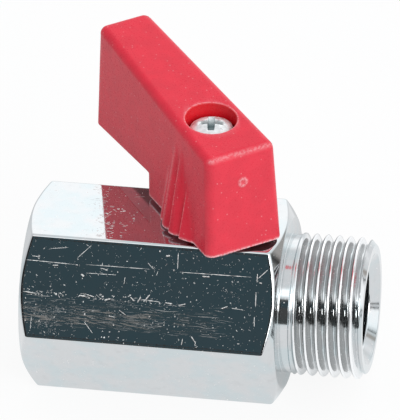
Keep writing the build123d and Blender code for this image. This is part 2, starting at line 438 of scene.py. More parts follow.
class Effect:
    """A shader node group that is built once and placed in many materials."""

    made: dict[str, bpy.types.NodeTree] = {}
    title = "effect"
    vectors: tuple[str, ...] = ()
    numbers: tuple[str, ...] = ()

    @classmethod
    def group(cls) -> bpy.types.NodeTree:
        """The effect's node tree, built on first use."""
        if cls.title not in Effect.made:
            tree = bpy.data.node_groups.new(cls.title, "ShaderNodeTree")
            for kind, names in (("Vector", cls.vectors), ("Float", cls.numbers)):
                for name in names:
                    tree.interface.new_socket(name, in_out="INPUT", socket_type="NodeSocket" + kind)
            tree.interface.new_socket("Mask", in_out="OUTPUT", socket_type="NodeSocketFloat")
            board = Board(tree)
            given = board.put("NodeGroupInput").outputs
            board.put("NodeGroupOutput", {"Mask": cls.draw(board, given)})
            Effect.made[cls.title] = tree
        return Effect.made[cls.title]

    @classmethod
    def draw(cls, board: Board, given: bpy.types.NodeOutputs) -> Socket:
        """Lay out the group's nodes.

        Args:
            board: the group's board.
            given: the group's inputs by name.
        Returns:
            The mask's socket.
        """
        raise NotImplementedError

    @classmethod
    def place(cls, board: Board, **values: object) -> Socket:
        """Place the group in a material: inputs by name, with _ for a space, give its mask."""
        inputs = {key.replace("_", " "): value for key, value in values.items()}
        return board.put("Group", inputs, node_tree=cls.group()).outputs["Mask"]


class Hairlines(Effect):
    """Fine lines: noise stretched along one direction, cut off at a threshold."""

    title = "hairlines"
    vectors = ("Vector", "Stretch")
    numbers = ("Threshold", "Softness")

    @classmethod
    def draw(cls, board: Board, given: bpy.types.NodeOutputs) -> Socket:
        """Noise of the stretched place, less the threshold, over the softness."""
        place = board.vector("MULTIPLY", given["Vector"], given["Stretch"])
        field = board.noise(place, scale=1.0, detail=4.0)
        above = board.less(field, given["Threshold"])
        return board.math("DIVIDE", above, given["Softness"], clamp=True)


class Specks(Effect):
    """Scattered dots: cells of a Voronoi pattern, of which a share holds a dot of a given size."""

    title = "specks"
    vectors = ("Vector",)
    numbers = ("Scale", "Size", "Share")

    @classmethod
    def draw(cls, board: Board, given: bpy.types.NodeOutputs) -> Socket:
        """1 at a chosen cell's point, falling to 0 at the dot's size."""
        cells = board.put("TexVoronoi", {"Vector": given["Vector"], "Scale": given["Scale"]})
        chance = board.put("SeparateColor", {0: cells.outputs["Color"]}).outputs[0]
        chosen = board.math("LESS_THAN", chance, given["Share"])
        near = board.math("DIVIDE", cells.outputs["Distance"], given["Size"])
        dot = board.math("SUBTRACT", 1.0, near, clamp=True)
        return board.times(chosen, board.math("MULTIPLY", dot, 2.0, clamp=True))


class TurningMarks(Effect):
    """Rings left by a lathe tool: noise of the distance from an axis and along it."""

    title = "turning marks"
    numbers = ("Radius", "Along", "Per mm")

    @classmethod
    def draw(cls, board: Board, given: bpy.types.NodeOutputs) -> Socket:
        """Noise read at (radius, distance along the axis)."""
        place = board.put("CombineXYZ", {0: given["Radius"], 1: given["Along"]}).outputs[0]
        return board.noise(board.scale(place, given["Per mm"]), scale=1.0, detail=3.0)


# Finishes


class Coating(Board):
    """A material's board, with its shader and the point's place in millimetres."""

    def __init__(self, name: str, metallic: float) -> None:
        """Make a material that shows one Principled BSDF.

        Args:
            name: the material's name.
            metallic: how metallic it is.
        """
        self.material = bpy.data.materials.new(name)
        self.material.use_nodes = True
        super().__init__(self.material.node_tree)
        self.skin = self.put("BsdfPrincipled", {"Metallic": metallic})
        self.put("OutputMaterial", {"Surface": self.skin.outputs[0]})
        self.place = self.scale(self.put("TexCoord").outputs["Object"], 1.0 / MM)



@dataclass(frozen=True)
class Finish:
    """A finish: its colour and gloss, the depth of its bump, and the nodes that vary them."""

    name: str
    colour: Triple
    roughness: float
    metallic: float = 0.0
    relief_mm: float = 0.008

    def make(self) -> Material:
        """Build the finish's material, whose shader the finish's own nodes feed.

        Returns:
            The material.
        """
        board = Coating(self.name, self.metallic)
        colour, roughness, height = self.dress(board)
        bump = board.put("Bump", {"Height": height, "Distance": self.relief_mm * MM,
                                  "Strength": 1.0}).outputs[0]
        for name, value in (("Base Color", colour), ("Roughness", roughness), ("Normal", bump)):
            board.tree.links.new(value, board.skin.inputs[name])
        board.material.diffuse_color = (*self.colour, 1.0)
        return board.material

    def dress(self, board: Coating) -> Dress:
        """Lay out the finish's nodes.

        Args:
            board: the material's board.
        Returns:
            The sockets of the colour, the roughness and the bump's height.
        """
        raise NotImplementedError

    def shades(self, board: Board, share: object, low: float, high: float) -> Socket:
        """The finish's colour, made darker or lighter by a share."""
        dark, light = (tuple(min(1.0, k * c) for c in self.colour) for k in (low, high))
        return board.mix(share, dark, light)

    def gloss(self, board: Board, field: object, less: float, more: float) -> Socket:
        """The finish's roughness, made less or more by a noise."""
        return board.spread(field, self.roughness - less, self.roughness + more)


@dataclass(frozen=True)
class ThreadStrip:
    """A strip of the thread's turn: where it lies, in pitches from the crest, and its colour of
    painted light and shade.
    """

    low: float
    high: float
    colour: Triple


@dataclass(frozen=True)
class ChromePlate(Finish):
    """Bright plate on a drawn and turned bar, with hairlines on a flat and a dull thread painted
    with light and shade.
    """

    relief_mm: float = 0.004
    smudged: Triple = (0.58, 0.67, 0.695)
    chipped: Triple = (0.9, 0.9, 0.89)
    hair: Triple = (0.72, 0.66, 0.61)
    hair_band: Triple = (7.7, 10.2, 0.5)
    hair_fade: Span = (9.0, -9.0)
    hair_skew: float = 0.13
    flat_depth: float = 0.05
    turned_ends: Span = (-21.4, 8.7)
    thread_reach: Triple = (10.6, 18.0, 0.3)
    thread_inside: float = 7.3
    strip_softness: float = 0.03
    # Painted light on the thread: highlights on the crest and the flank facing the end, shade on
    # the rear flank, a near black shade line at the crest's rear edge
    crest: ThreadStrip = ThreadStrip(-0.07, 0.13, (0.98, 0.99, 1.0))
    lit_end_flank: ThreadStrip = ThreadStrip(0.13, 0.42, (0.9, 0.91, 0.92))
    shaded_rear_flank: ThreadStrip = ThreadStrip(-0.42, -0.07, (0.36, 0.37, 0.37))
    shaded_crest_edge: ThreadStrip = ThreadStrip(-0.17, -0.09, (0.06, 0.063, 0.065))
    dull_rise: Span = (4.9, 5.9)
    dull_rear: Span = (0.07, 0.34)

    def hairs(self, board: Coating, x: Socket) -> Socket:
        """A mask of fine brownish hairlines in a band along the front flat.

        Args:
            board: the material's board.
            x: the point's place along the bar.
        Returns:
            The mask's socket.
        """
        place = board.place
        from_edge = board.vector("SUBTRACT", place, FRONT_EDGE)
        proud = board.math("ABSOLUTE", board.dot(from_edge, FRONT_OUT))
        on_flat = board.math("LESS_THAN", proud, self.flat_depth)
        skewed = board.put("VectorRotate", {"Vector": place, "Axis": FRONT_OUT,
                                            "Angle": self.hair_skew}).outputs[0]
        lines = Hairlines.place(board, Vector=place, Stretch=(0.35, 9.0, 9.0), Threshold=0.55,
                                Softness=0.05)
        crossing = Hairlines.place(board, Vector=skewed, Stretch=(0.4, 10.0, 10.0), Threshold=0.56,
                                   Softness=0.05)
        band = board.zone({"down": board.dot(from_edge, FRONT_DOWN), "along": x},
                          {"down": self.hair_band, "along": self.hair_fade})
        patchy = board.ramp(board.noise(place, scale=0.45, detail=3.0), 0.36, 0.6, 0.4, 0.9)
        return board.times(board.math("MAXIMUM", lines, crossing), on_flat, band, patchy)

    def strip(self, board: Board, x: Socket, radius: Socket, angle: Socket,
              strip: ThreadStrip) -> Socket:
        """A mask of one strip of the male thread, which carries a painted highlight or a painted
        shade.

        The phase is (x - offset) / pitch less the turn. Its distance from the nearest whole number
        is 0 on a crest, positive on the flank that faces the end, and a half in the root.

        Args:
            board: the material's board.
            x: place along the flow axis.
            radius: distance from it.
            angle: angle about it.
            strip: where the strip lies.
        Returns:
            The mask's socket.
        """
        along = board.math("DIVIDE", board.less(x, CREST_OFFSET), PITCH)
        phase = board.less(along, board.math("DIVIDE", angle, TURN))
        off_crest = board.less(phase, board.math("ROUND", phase))
        outside = board.math("GREATER_THAN", radius, self.thread_inside)
        return board.times(board.window(x, *self.thread_reach), outside,
                           board.window(off_crest, strip.low, strip.high, self.strip_softness))

    def dress(self, board: Coating) -> Dress:
        """Mirror plate; specks and hairlines scatter light, lathe rings show, the dull thread has
        painted light and shade.

        Args:
            board: the material's board.
        Returns:
            The sockets of the colour, the roughness and the bump's height.
        """
        place = board.place
        x, y, z = board.split(place)
        up = board.less(z, HALF_FLATS)
        radius, angle = board.length(y, up), board.math("ARCTAN2", up, y)
        hairs = self.hairs(board, x)
        dust = Specks.place(board, Vector=place, Scale=4.2, Size=0.24, Share=0.14)
        specks = Specks.place(board, Vector=place, Scale=1.7, Size=0.17, Share=0.26)
        chips = board.math("MAXIMUM", specks, board.times(dust, 0.6))
        rings = TurningMarks.place(board, Radius=radius, Along=x, Per_mm=9.0)
        low_end, high_end = self.turned_ends
        turned = board.math("MAXIMUM", board.math("GREATER_THAN", x, high_end),
                            board.math("LESS_THAN", x, low_end))
        strips = (self.crest, self.lit_end_flank, self.shaded_rear_flank, self.shaded_crest_edge)
        masks = [self.strip(board, x, radius, angle, strip) for strip in strips]
        crest, lit_end_flank, shaded_rear_flank, _ = masks
        smudge = board.noise(place, scale=0.35, detail=4.0)
        grime = board.ramp(board.noise(place, scale=0.8, detail=5.0), 0.5, 0.85)
        # The colour carries the thread strips' painted highlights and painted shade
        colour = board.layers(
            self.shades(board, board.less(1.0, grime), 0.92, 1.0),
            (board.ramp(smudge, 0.4, 0.65, 0.0, 0.6), self.smudged),
            *((mask, strip.colour) for mask, strip in zip(masks, strips)),
            (chips, self.chipped), (hairs, self.hair))
        bright = board.math("MAXIMUM", lit_end_flank, crest)
        rough = board.plus(
            board.ramp(smudge, 0.35, 0.75, self.roughness, self.roughness + 0.025),
            (turned, 0.05), (chips, 0.5), (bright, 0.08),
            (shaded_rear_flank, board.ramp(up, *self.dull_rise, *self.dull_rear)), (hairs, 0.3))
        ripple = board.times(board.less(rings, 0.5), turned)
        wave = board.noise(place, scale=0.5, detail=1.0)
        return colour, board.math("MINIMUM", rough, 1.0), board.plus(
            ripple, (wave, 0.08), (chips, -0.8))


@dataclass(frozen=True)
class MouldedNylon(Finish):
    """Satin moulded plastic with a fine grain and pale specks, and painted highlights, sheen and
    shade.
    """

    relief_mm: float = 0.013
    specular: float = 0.21
    pale: Triple = (0.95, 0.6, 0.63)
    painted_shade: Triple = (0.07, 0.018, 0.018)
    deep: Triple = (0.7, 0.003, 0.006)
    across: Triple = (-0.788, -0.616, 0.0)
    hubward: Triple = (0.616, -0.788, 0.0)
    # Painted sheen and shade on downward faces, painted shade and shadow in the screw's hole,
    # painted sheen at the hub's end
    facing_down: Span = (-0.85, -0.97)
    shaded_middle: Span = (2.8, 2.3)
    sheen_end: Span = (6.4, 7.3)
    pit_wall: Span = (COUNTERBORE + 0.12, COUNTERBORE + 0.05)
    pit_floor: Triple = (SCREW_SEAT - 0.3, SCREW_SEAT + 0.25, 0.15)

    def dress(self, board: Coating) -> Dress:
        """Mottled red with pale specks, painted edge highlights, painted sheen and shade below,
        painted shade in the screw's hole.

        Args:
            board: the material's board.
        Returns:
            The sockets of the colour, the roughness and the bump's height.
        """
        place = board.place
        board.skin.inputs["Specular IOR Level"].default_value = self.specular
        mottle = board.noise(place, scale=0.5, detail=4.0)
        grain = board.noise(place, scale=5.0, detail=3.0)
        specks = Specks.place(board, Vector=place, Scale=2.0, Size=0.22, Share=0.22)
        hairs = Hairlines.place(board, Vector=place, Stretch=(1.5, 1.5, 0.4), Threshold=0.66,
                                Softness=0.1)
        # Painted highlights on the lever's edges and stress whitening on the gate's scar, both from
        # the mesh's share, broken into flecks
        flecked = board.ramp(board.noise(place, scale=4.5, detail=3.0), 0.38, 0.58, 0.25, 1.0)
        worn_and_lit = board.times(board.wear_and_painted_light(), flecked)
        # Downward faces: a painted pale sheen, and painted shade across the middle
        normal = board.put("NewGeometry").outputs["Normal"]
        under = board.ramp(board.split(normal)[2], *self.facing_down)
        middle = board.ramp(board.dot(place, self.across), *self.shaded_middle, 0.0, 0.78)
        x, y, z = board.split(place)
        # Inside the screw's hole: painted shade on the wall and a darker painted shadow on the
        # floor
        wall = board.ramp(board.length(x, y), *self.pit_wall)
        floor = board.times(board.window(z, *self.pit_floor), wall)
        colour = board.layers(
            self.shades(board, board.spread(mottle), 0.95, 1.04),
            (board.math("MAXIMUM", board.times(specks, 0.3), worn_and_lit), self.pale),
            (board.times(under, 0.28), self.pale),
            (board.times(under, middle), self.painted_shade),
            (board.times(wall, 0.7), self.deep),
            (board.times(floor, 0.75), self.painted_shade),
            # A faint painted sheen on the lamp-lit end face at the hub
            (board.ramp(board.dot(place, self.hubward), *self.sheen_end, 0.0, 0.035), self.pale))
        rough = board.plus(self.gloss(board, grain, 0.07, 0.07), (floor, 0.5))
        height = board.plus(grain, (hairs, 0.3), (specks, 0.5))
        return colour, rough, board.times(height, board.less(1.0, floor))


@dataclass(frozen=True)
class ZincPlate(Finish):
    """Bright zinc on small steel parts: uneven grey, with tool marks and painted shade in recesses.
    """

    relief_mm: float = 0.0006
    # Painted shade in the screw's cross recess, mixed in by the mesh's sunk share
    recess: Triple = (0.15, 0.21, 0.22)

    def dress(self, board: Coating) -> Dress:
        """Grey that varies in patches, rougher where it is paler.

        Args:
            board: the material's board.
        Returns:
            The sockets of the colour, the roughness and the bump's height.
        """
        cloud = board.noise(board.place, scale=1.7, detail=5.0)
        hairs = Hairlines.place(board, Vector=board.place, Stretch=(2.0, 7.0, 2.0), Threshold=0.58,
                                Softness=0.2)
        grey = self.shades(board, board.spread(cloud), 0.78, 1.08)
        rough = board.plus(self.gloss(board, cloud, 0.08, 0.1), (hairs, 0.15))
        return board.mix(board.wear_and_painted_light(), grey, self.recess), rough, board.math("ADD", cloud, hairs)


@dataclass(frozen=True)
class BarePlate(Finish):
    """Plate broken by a mark: bright where it is torn, near black where it is a painted shadow."""

    relief_mm: float = 0.01
    shadow_black: Triple = (0.02, 0.024, 0.026)

    def dress(self, board: Coating) -> Dress:
        """From a painted shadow's near black to the torn metal's colour by the mark's share, with a
        fine grain.

        Args:
            board: the material's board.
        Returns:
            The sockets of the colour, the roughness and the bump's height.
        """
        grain = board.noise(board.place, scale=7.0, detail=3.0)
        torn = self.shades(board, board.spread(grain), 0.85, 1.0)
        colour = board.mix(board.wear_and_painted_light(), self.shadow_black, torn)
        return colour, self.gloss(board, grain, 0.1, 0.1), grain


@dataclass(frozen=True)
class TurnedMetal(Finish):
    """Metal as it leaves the lathe: rings about the stem's axis or the flow axis."""

    stem_axis: bool = True

    def dress(self, board: Coating) -> Dress:
        """Gloss and bump follow the lathe rings, and the colour is tarnished in patches.

        Args:
            board: the material's board.
        Returns:
            The sockets of the colour, the roughness and the bump's height.
        """
        x, y, z = board.split(board.place)
        side, along = (x, z) if self.stem_axis else (board.less(z, HALF_FLATS), x)
        radius = board.length(y, side)
        rings = TurningMarks.place(board, Radius=radius, Along=along, Per_mm=11.0)
        tarnish = board.noise(board.place, scale=0.9, detail=4.0)
        colour = self.shades(board, board.spread(tarnish), 0.82, 1.05)
        return colour, self.gloss(board, rings, 0.06, 0.1), rings


@dataclass(frozen=True)
class SoftRing(Finish):
    """Seals: waxy or rubbery, with a faint bloom."""

    def dress(self, board: Coating) -> Dress:
        """Colour that blooms in patches, and a fine grain.

        Args:
            board: the material's board.
        Returns:
            The sockets of the colour, the roughness and the bump's height.
        """
        bloom = board.noise(board.place, scale=1.1, detail=4.0)
        grain = board.noise(board.place, scale=9.0, detail=2.0)
        colour = self.shades(board, board.spread(bloom), 0.9, 1.08)
        return colour, self.gloss(board, grain, 0.06, 0.06), grain


# Sub-assemblies


@dataclass
class HexBody:
    """The one-piece body: hexagon bar, neck, male pipe thread, passage and female pipe thread."""

    edge_round: float = 0.4
    crease_round: float = 0.3
    lip_round: float = 0.1
    rim_round: float = 0.08
    thread_round: float = 0.06
    seat_round: float = 0.05
    end_round: float = 0.03
    housing_round: float = 0.02
    chamfer_angle: float = 30.0
    flat_rows: tuple[float, float, int] = (-16.0, 4.0, 6)
    neck_radius: float = 8.151
    neck_end: float = 10.0
    collar: float = 0.12
    male_end: float = 18.6
    end_chamfer: float = 0.8
    chamfer_blend: float = 0.1
    thread_crest: float = 8.331
    thread_root: float = 7.475
    flank_angle: float = 27.5
    flank_blend: float = 0.3
    thread_start: float = 10.3
    thread_stop: float = 18.59
    run_out: Span = (10.0, 10.8)
    bore: float = 5.5
    mouth_chamfer: float = 1.1
    bore_end: float = 9.58
    seat_bore: float = 4.2
    seat_back: float = 6.6
    chamber: float = 7.0
    retainer_housing: float = 7.1
    female_bore_end: float = -10.1
    female_start: float = -10.3
    female_run_out: Span = (10.4, 11.7)
    female_chamfer: float = 1.0
    stem_hole: float = 3.05
    pocket: float = 4.05
    pocket_top: float = 18.75
    pin_spot: Span = (2.709, -3.467)
    pin_hole: float = 0.76
    pin_floor: float = 19.2
    overshoot: float = 1.0
    edge_columns: int = 9
    edge_margin_deg: float = 0.25
    flat_columns: int = 32
    rows_per_pitch: int = 18
    hole_columns: int = 64

    def angles(self) -> Array:
        """Column angles about the flow axis: close together round each edge of the hexagon.

        Returns:
            The angles of one turn.
        """
        tip = self.edge_angle()
        margin = tip + math.radians(self.edge_margin_deg)
        sector = np.concatenate([np.linspace(-tip, tip, self.edge_columns),
                                 np.linspace(margin, SIXTH - margin, self.flat_columns)])
        return (sector + np.arange(6)[:, None] * SIXTH).ravel()

    def edge_angle(self) -> float:
        """Half the angle that a rounded edge of the hexagon takes up."""
        flat_half = (HALF_FLATS - self.edge_round) * math.tan(SIXTH / 2.0)
        return SIXTH / 2.0 - math.atan(flat_half / HALF_FLATS)

    def hexagon(self, angles: Array) -> Array:
        """Radius of the hexagon with rounded edges.

        On a flat it is h / cos(d), d being the angle from the flat's middle. On an edge it is the
        far side of a circle of the rounding's radius on the edge's own line.

        Args:
            angles: angles about the flow axis, with an edge at 0.
        Returns:
            A radius for each angle.
        """
        half = SIXTH / 2.0
        off_edge = (angles + half) % SIXTH - half
        flat = HALF_FLATS / np.cos(half - np.abs(off_edge))
        centre = (HALF_FLATS - self.edge_round) / math.cos(half)
        inside = np.maximum(self.edge_round ** 2 - (centre * np.sin(off_edge)) ** 2, 0.0)
        tip = centre * np.cos(off_edge) + np.sqrt(inside)
        return np.where(np.abs(off_edge) < self.edge_angle(), tip, flat)

    def thread(self, x: float, angles: Array) -> Array:
        """Share of the thread's depth at a place: 0 on the crest and 1 in the root.

        The phase is (x - offset) / pitch less the turn, and a is its distance from a whole number.
        The flanks lie at (a - 1/4) pitch / tan(flank angle) / depth + 1/2, and the crest and root
        are rounded off where that leaves 0 to 1.

        Args:
            x: place along the flow axis.
            angles: angle about it.
        Returns:
            The share at each angle.
        """
        phase = (x - CREST_OFFSET) / PITCH - angles / TURN
        off_crest = np.abs(phase - np.round(phase))
        depth = self.thread_crest - self.thread_root
        steep = PITCH / math.tan(math.radians(self.flank_angle)) / depth
        flank = (off_crest - 0.25) * steep + 0.5
        return soft_min(-soft_min(-flank, 0.0, self.flank_blend), 1.0, self.flank_blend)

    def track(self, angles: Array) -> list[Corner]:
        """Corners of the body's section, from the female mouth over the outside and back inside.

        Args:
            angles: column angles about the flow axis.
        Returns:
            Corners as (along, out, size of the rounding).
        """
        female_face, shoulder = BAR_ENDS
        hexagon = self.hexagon(angles)
        lean = (hexagon - CHAMFER_CIRCLE) * math.tan(math.radians(self.chamfer_angle))
        crest, root, end = self.thread_crest, self.thread_root, self.male_end
        depth, step = crest - root, PITCH / self.rows_per_pitch
        rows = [
            (female_face, root + self.female_chamfer, self.rim_round),
            (female_face, CHAMFER_CIRCLE, self.lip_round),
            (female_face + lean, hexagon, self.crease_round),
            *((x, hexagon, 0.0) for x in np.linspace(*self.flat_rows)),
            (shoulder - lean, hexagon, self.crease_round),
            (shoulder, CHAMFER_CIRCLE, self.lip_round),
            (shoulder, self.neck_radius, self.lip_round),
            (self.neck_end, self.neck_radius, self.rim_round),
            (self.neck_end + self.collar, crest, self.thread_round),
        ]
        for x in np.arange(self.thread_start, self.thread_stop, step):
            cut = smoothstep(x, *self.run_out) * depth * self.thread(x, angles)
            cone = crest - self.end_chamfer + end - x
            rows.append((x, soft_min(crest - cut, cone, self.chamfer_blend), 0.0))
        rim = np.minimum(crest - depth * self.thread(end, angles), crest - self.end_chamfer)
        rows += [
            (end, rim, self.end_round),
            (end, self.bore + self.mouth_chamfer, self.thread_round),
            (end - self.mouth_chamfer, self.bore, self.lip_round),
            (self.bore_end, self.bore, self.seat_round),
            (shoulder, self.seat_bore, self.seat_round),
            (self.seat_back, self.seat_bore, self.seat_round),
            (self.seat_back, self.chamber, self.seat_round),
            (-self.seat_back, self.chamber, self.housing_round),
            (-self.seat_back, self.retainer_housing, self.housing_round),
            (self.female_bore_end, self.retainer_housing, self.housing_round),
            (self.female_bore_end, root, self.housing_round),
        ]
        inner_end = female_face + self.female_chamfer
        for x in np.arange(self.female_start, inner_end, -step):
            fade = smoothstep(-x, *self.female_run_out)
            rows.append((x, root + fade * depth * (1.0 - self.thread(x, angles)), 0.0))
        mouth = root + depth * (1.0 - self.thread(inner_end, angles))
        return rows + [(inner_end, mouth, 0.0)]

    def build(self, coat: Material) -> None:
        """Turn the section about the flow axis, drill the stem's and the pin's holes, and dress it.

        Args:
            coat: the plate's material.
        """
        angles = self.angles()
        along, out = round_track(self.track(angles), len(angles))
        skin = np.stack([along, out * np.cos(angles), HALF_FLATS + out * np.sin(angles)], axis=-1)
        piece = sew("body_shell", [Patch(skin, wrap_rows=True)])
        above = 2.0 * HALF_FLATS + self.overshoot
        turn = full_turn(self.hole_columns)
        stem = lathe(
            np.array([0.0, self.pocket, self.pocket, self.stem_hole, self.stem_hole, 0.0]),
            np.array([HALF_FLATS, HALF_FLATS, self.pocket_top, self.pocket_top, above, above]),
            turn)
        pin = lathe(np.array([0.0, self.pin_hole, self.pin_hole, 0.0]),
                    np.array([self.pin_floor, self.pin_floor, above, above]), turn[::2])
        pin[..., :2] += self.pin_spot
        for name, cutter in (("stem_cutter", stem), ("pin_cutter", pin)):
            drill(piece, sew(name, [Patch(cutter)]))
        settle(piece, Body.BARREL, "valve_body", coat)


# Marks on the front flat: start and end as (along the bar, down the flat), then the width, in mm
FLAT_MARKS: tuple[tuple[float, float, float, float, float], ...] = (
    (-20.93, 3.0, -15.0, 3.12, 0.075), (-13.9, 3.02, -6.1, 2.98, 0.075),
    (-2.78, 3.04, 5.84, 2.97, 0.085), (-0.02, 3.33, 0.9, 3.32, 0.13),
    (-17.68, 3.4, -16.97, 3.37, 0.12), (-14.22, 4.17, -13.87, 4.43, 0.24),
    (-14.95, 3.14, -14.7, 3.17, 0.16), (-13.71, 4.0, -10.05, 3.96, 0.055),
    (-9.04, 4.13, -9.11, 4.99, 0.1), (-13.14, 0.64, -14.85, 2.38, 0.06),
    (-18.18, 1.5, -15.95, 1.21, 0.06), (-13.5, 9.66, -12.39, 10.93, 0.08),
    (-12.03, 3.31, -11.1, 3.44, 0.09), (-19.74, 9.55, -19.76, 11.01, 0.06),
    (-6.5, 2.23, -5.78, 2.93, 0.08), (-5.21, 3.13, -5.38, 3.65, 0.09),
    (-2.99, 0.8, -2.95, 2.75, 0.09), (6.46, 2.52, 6.46, 3.52, 0.1),
    (6.56, 3.09, 7.69, 1.92, 0.09), (6.44, 4.62, 6.5, 6.42, 0.09),
    (6.45, 7.53, 6.51, 8.72, 0.09), (-4.14, 6.71, -3.22, 6.79, 0.12),
    (-2.5, 6.91, -1.7, 6.67, 0.12), (2.48, 6.92, 3.26, 6.56, 0.13),
    (3.68, 6.74, 5.11, 6.85, 0.09), (-0.8, 10.36, -0.21, 11.11, 0.12),
    (-1.76, 10.74, -1.86, 11.48, 0.12), (-5.26, 0.83, -5.07, 0.81, 0.2),
    (-4.4, 1.31, -3.95, 1.23, 0.22), (-3.45, 2.89, -3.3, 2.88, 0.18),
    (6.74, 3.55, 7.05, 3.59, 0.15), (-14.33, 6.66, -13.51, 6.71, 0.16),
    (-13.43, 6.49, -12.49, 6.71, 0.11), (-11.25, 6.97, -10.56, 6.76, 0.17),
    (-8.24, 6.38, -7.75, 6.84, 0.16), (-7.3, 6.81, -7.03, 6.28, 0.16),
    (-6.59, 6.75, -5.96, 5.9, 0.13), (-9.5, 7.99, -8.65, 8.52, 0.1),
    (-10.66, 8.78, -9.89, 8.87, 0.1), (-20.15, 2.49, -19.22, 2.57, 0.08),
    (-7.1, 6.54, -4.75, 6.69, 0.08), (-20.97, 6.68, -19.22, 6.84, 0.11),
)


@dataclass(frozen=True)
class Strewing:
    """A zone of strewn marks: their number, where they start along the bar and across the flat,
    their least and most length and width, and the spread of their directions in degrees."""

    count: int
    along: Span
    down: Span
    length: Span
    width: Span
    turn: float


FRONT_CHIPS = (
    Strewing(100, (-21.0, -2.0), (6.35, 7.0), (0.1, 0.6), (0.06, 0.22), 30.0),
    Strewing(26, (-20.0, 8.0), (11.2, 11.7), (0.1, 0.3), (0.08, 0.22), 40.0),
    Strewing(170, (-21.0, 8.0), (0.5, 11.6), (0.05, 0.3), (0.04, 0.18), 60.0),
    Strewing(330, (-21.0, 8.0), (0.5, 9.5), (0.05, 0.35), (0.03, 0.1), 70.0),
)
FRONT_SCUFFS = (
    Strewing(120, (-19.6, -16.9), (8.3, 11.6), (0.1, 0.5), (0.03, 0.09), 50.0),
    Strewing(80, (-20.4, -14.6), (8.0, 11.0), (0.1, 0.5), (0.03, 0.08), 40.0),
    Strewing(240, (-21.0, 2.0), (6.9, 10.4), (0.3, 2.6), (0.025, 0.05), 5.0),
    Strewing(40, (2.5, 5.0), (3.8, 6.2), (0.05, 0.4), (0.03, 0.07), 85.0),
)
TOP_MARKS = (
    Strewing(60, (-14.5, -9.0), (5.0, 11.6), (0.1, 0.6), (0.07, 0.26), 15.0),
    Strewing(34, (-14.6, -13.1), (0.6, 5.0), (0.1, 0.6), (0.05, 0.16), 12.0),
    Strewing(36, (-13.7, -12.2), (4.5, 8.5), (0.1, 0.6), (0.05, 0.18), 12.0),
    Strewing(38, (-12.9, -11.2), (8.0, 11.6), (0.1, 0.8), (0.05, 0.18), 12.0),
    Strewing(60, (-21.0, 8.0), (0.5, 11.6), (0.1, 1.6), (0.03, 0.07), 6.0),
)


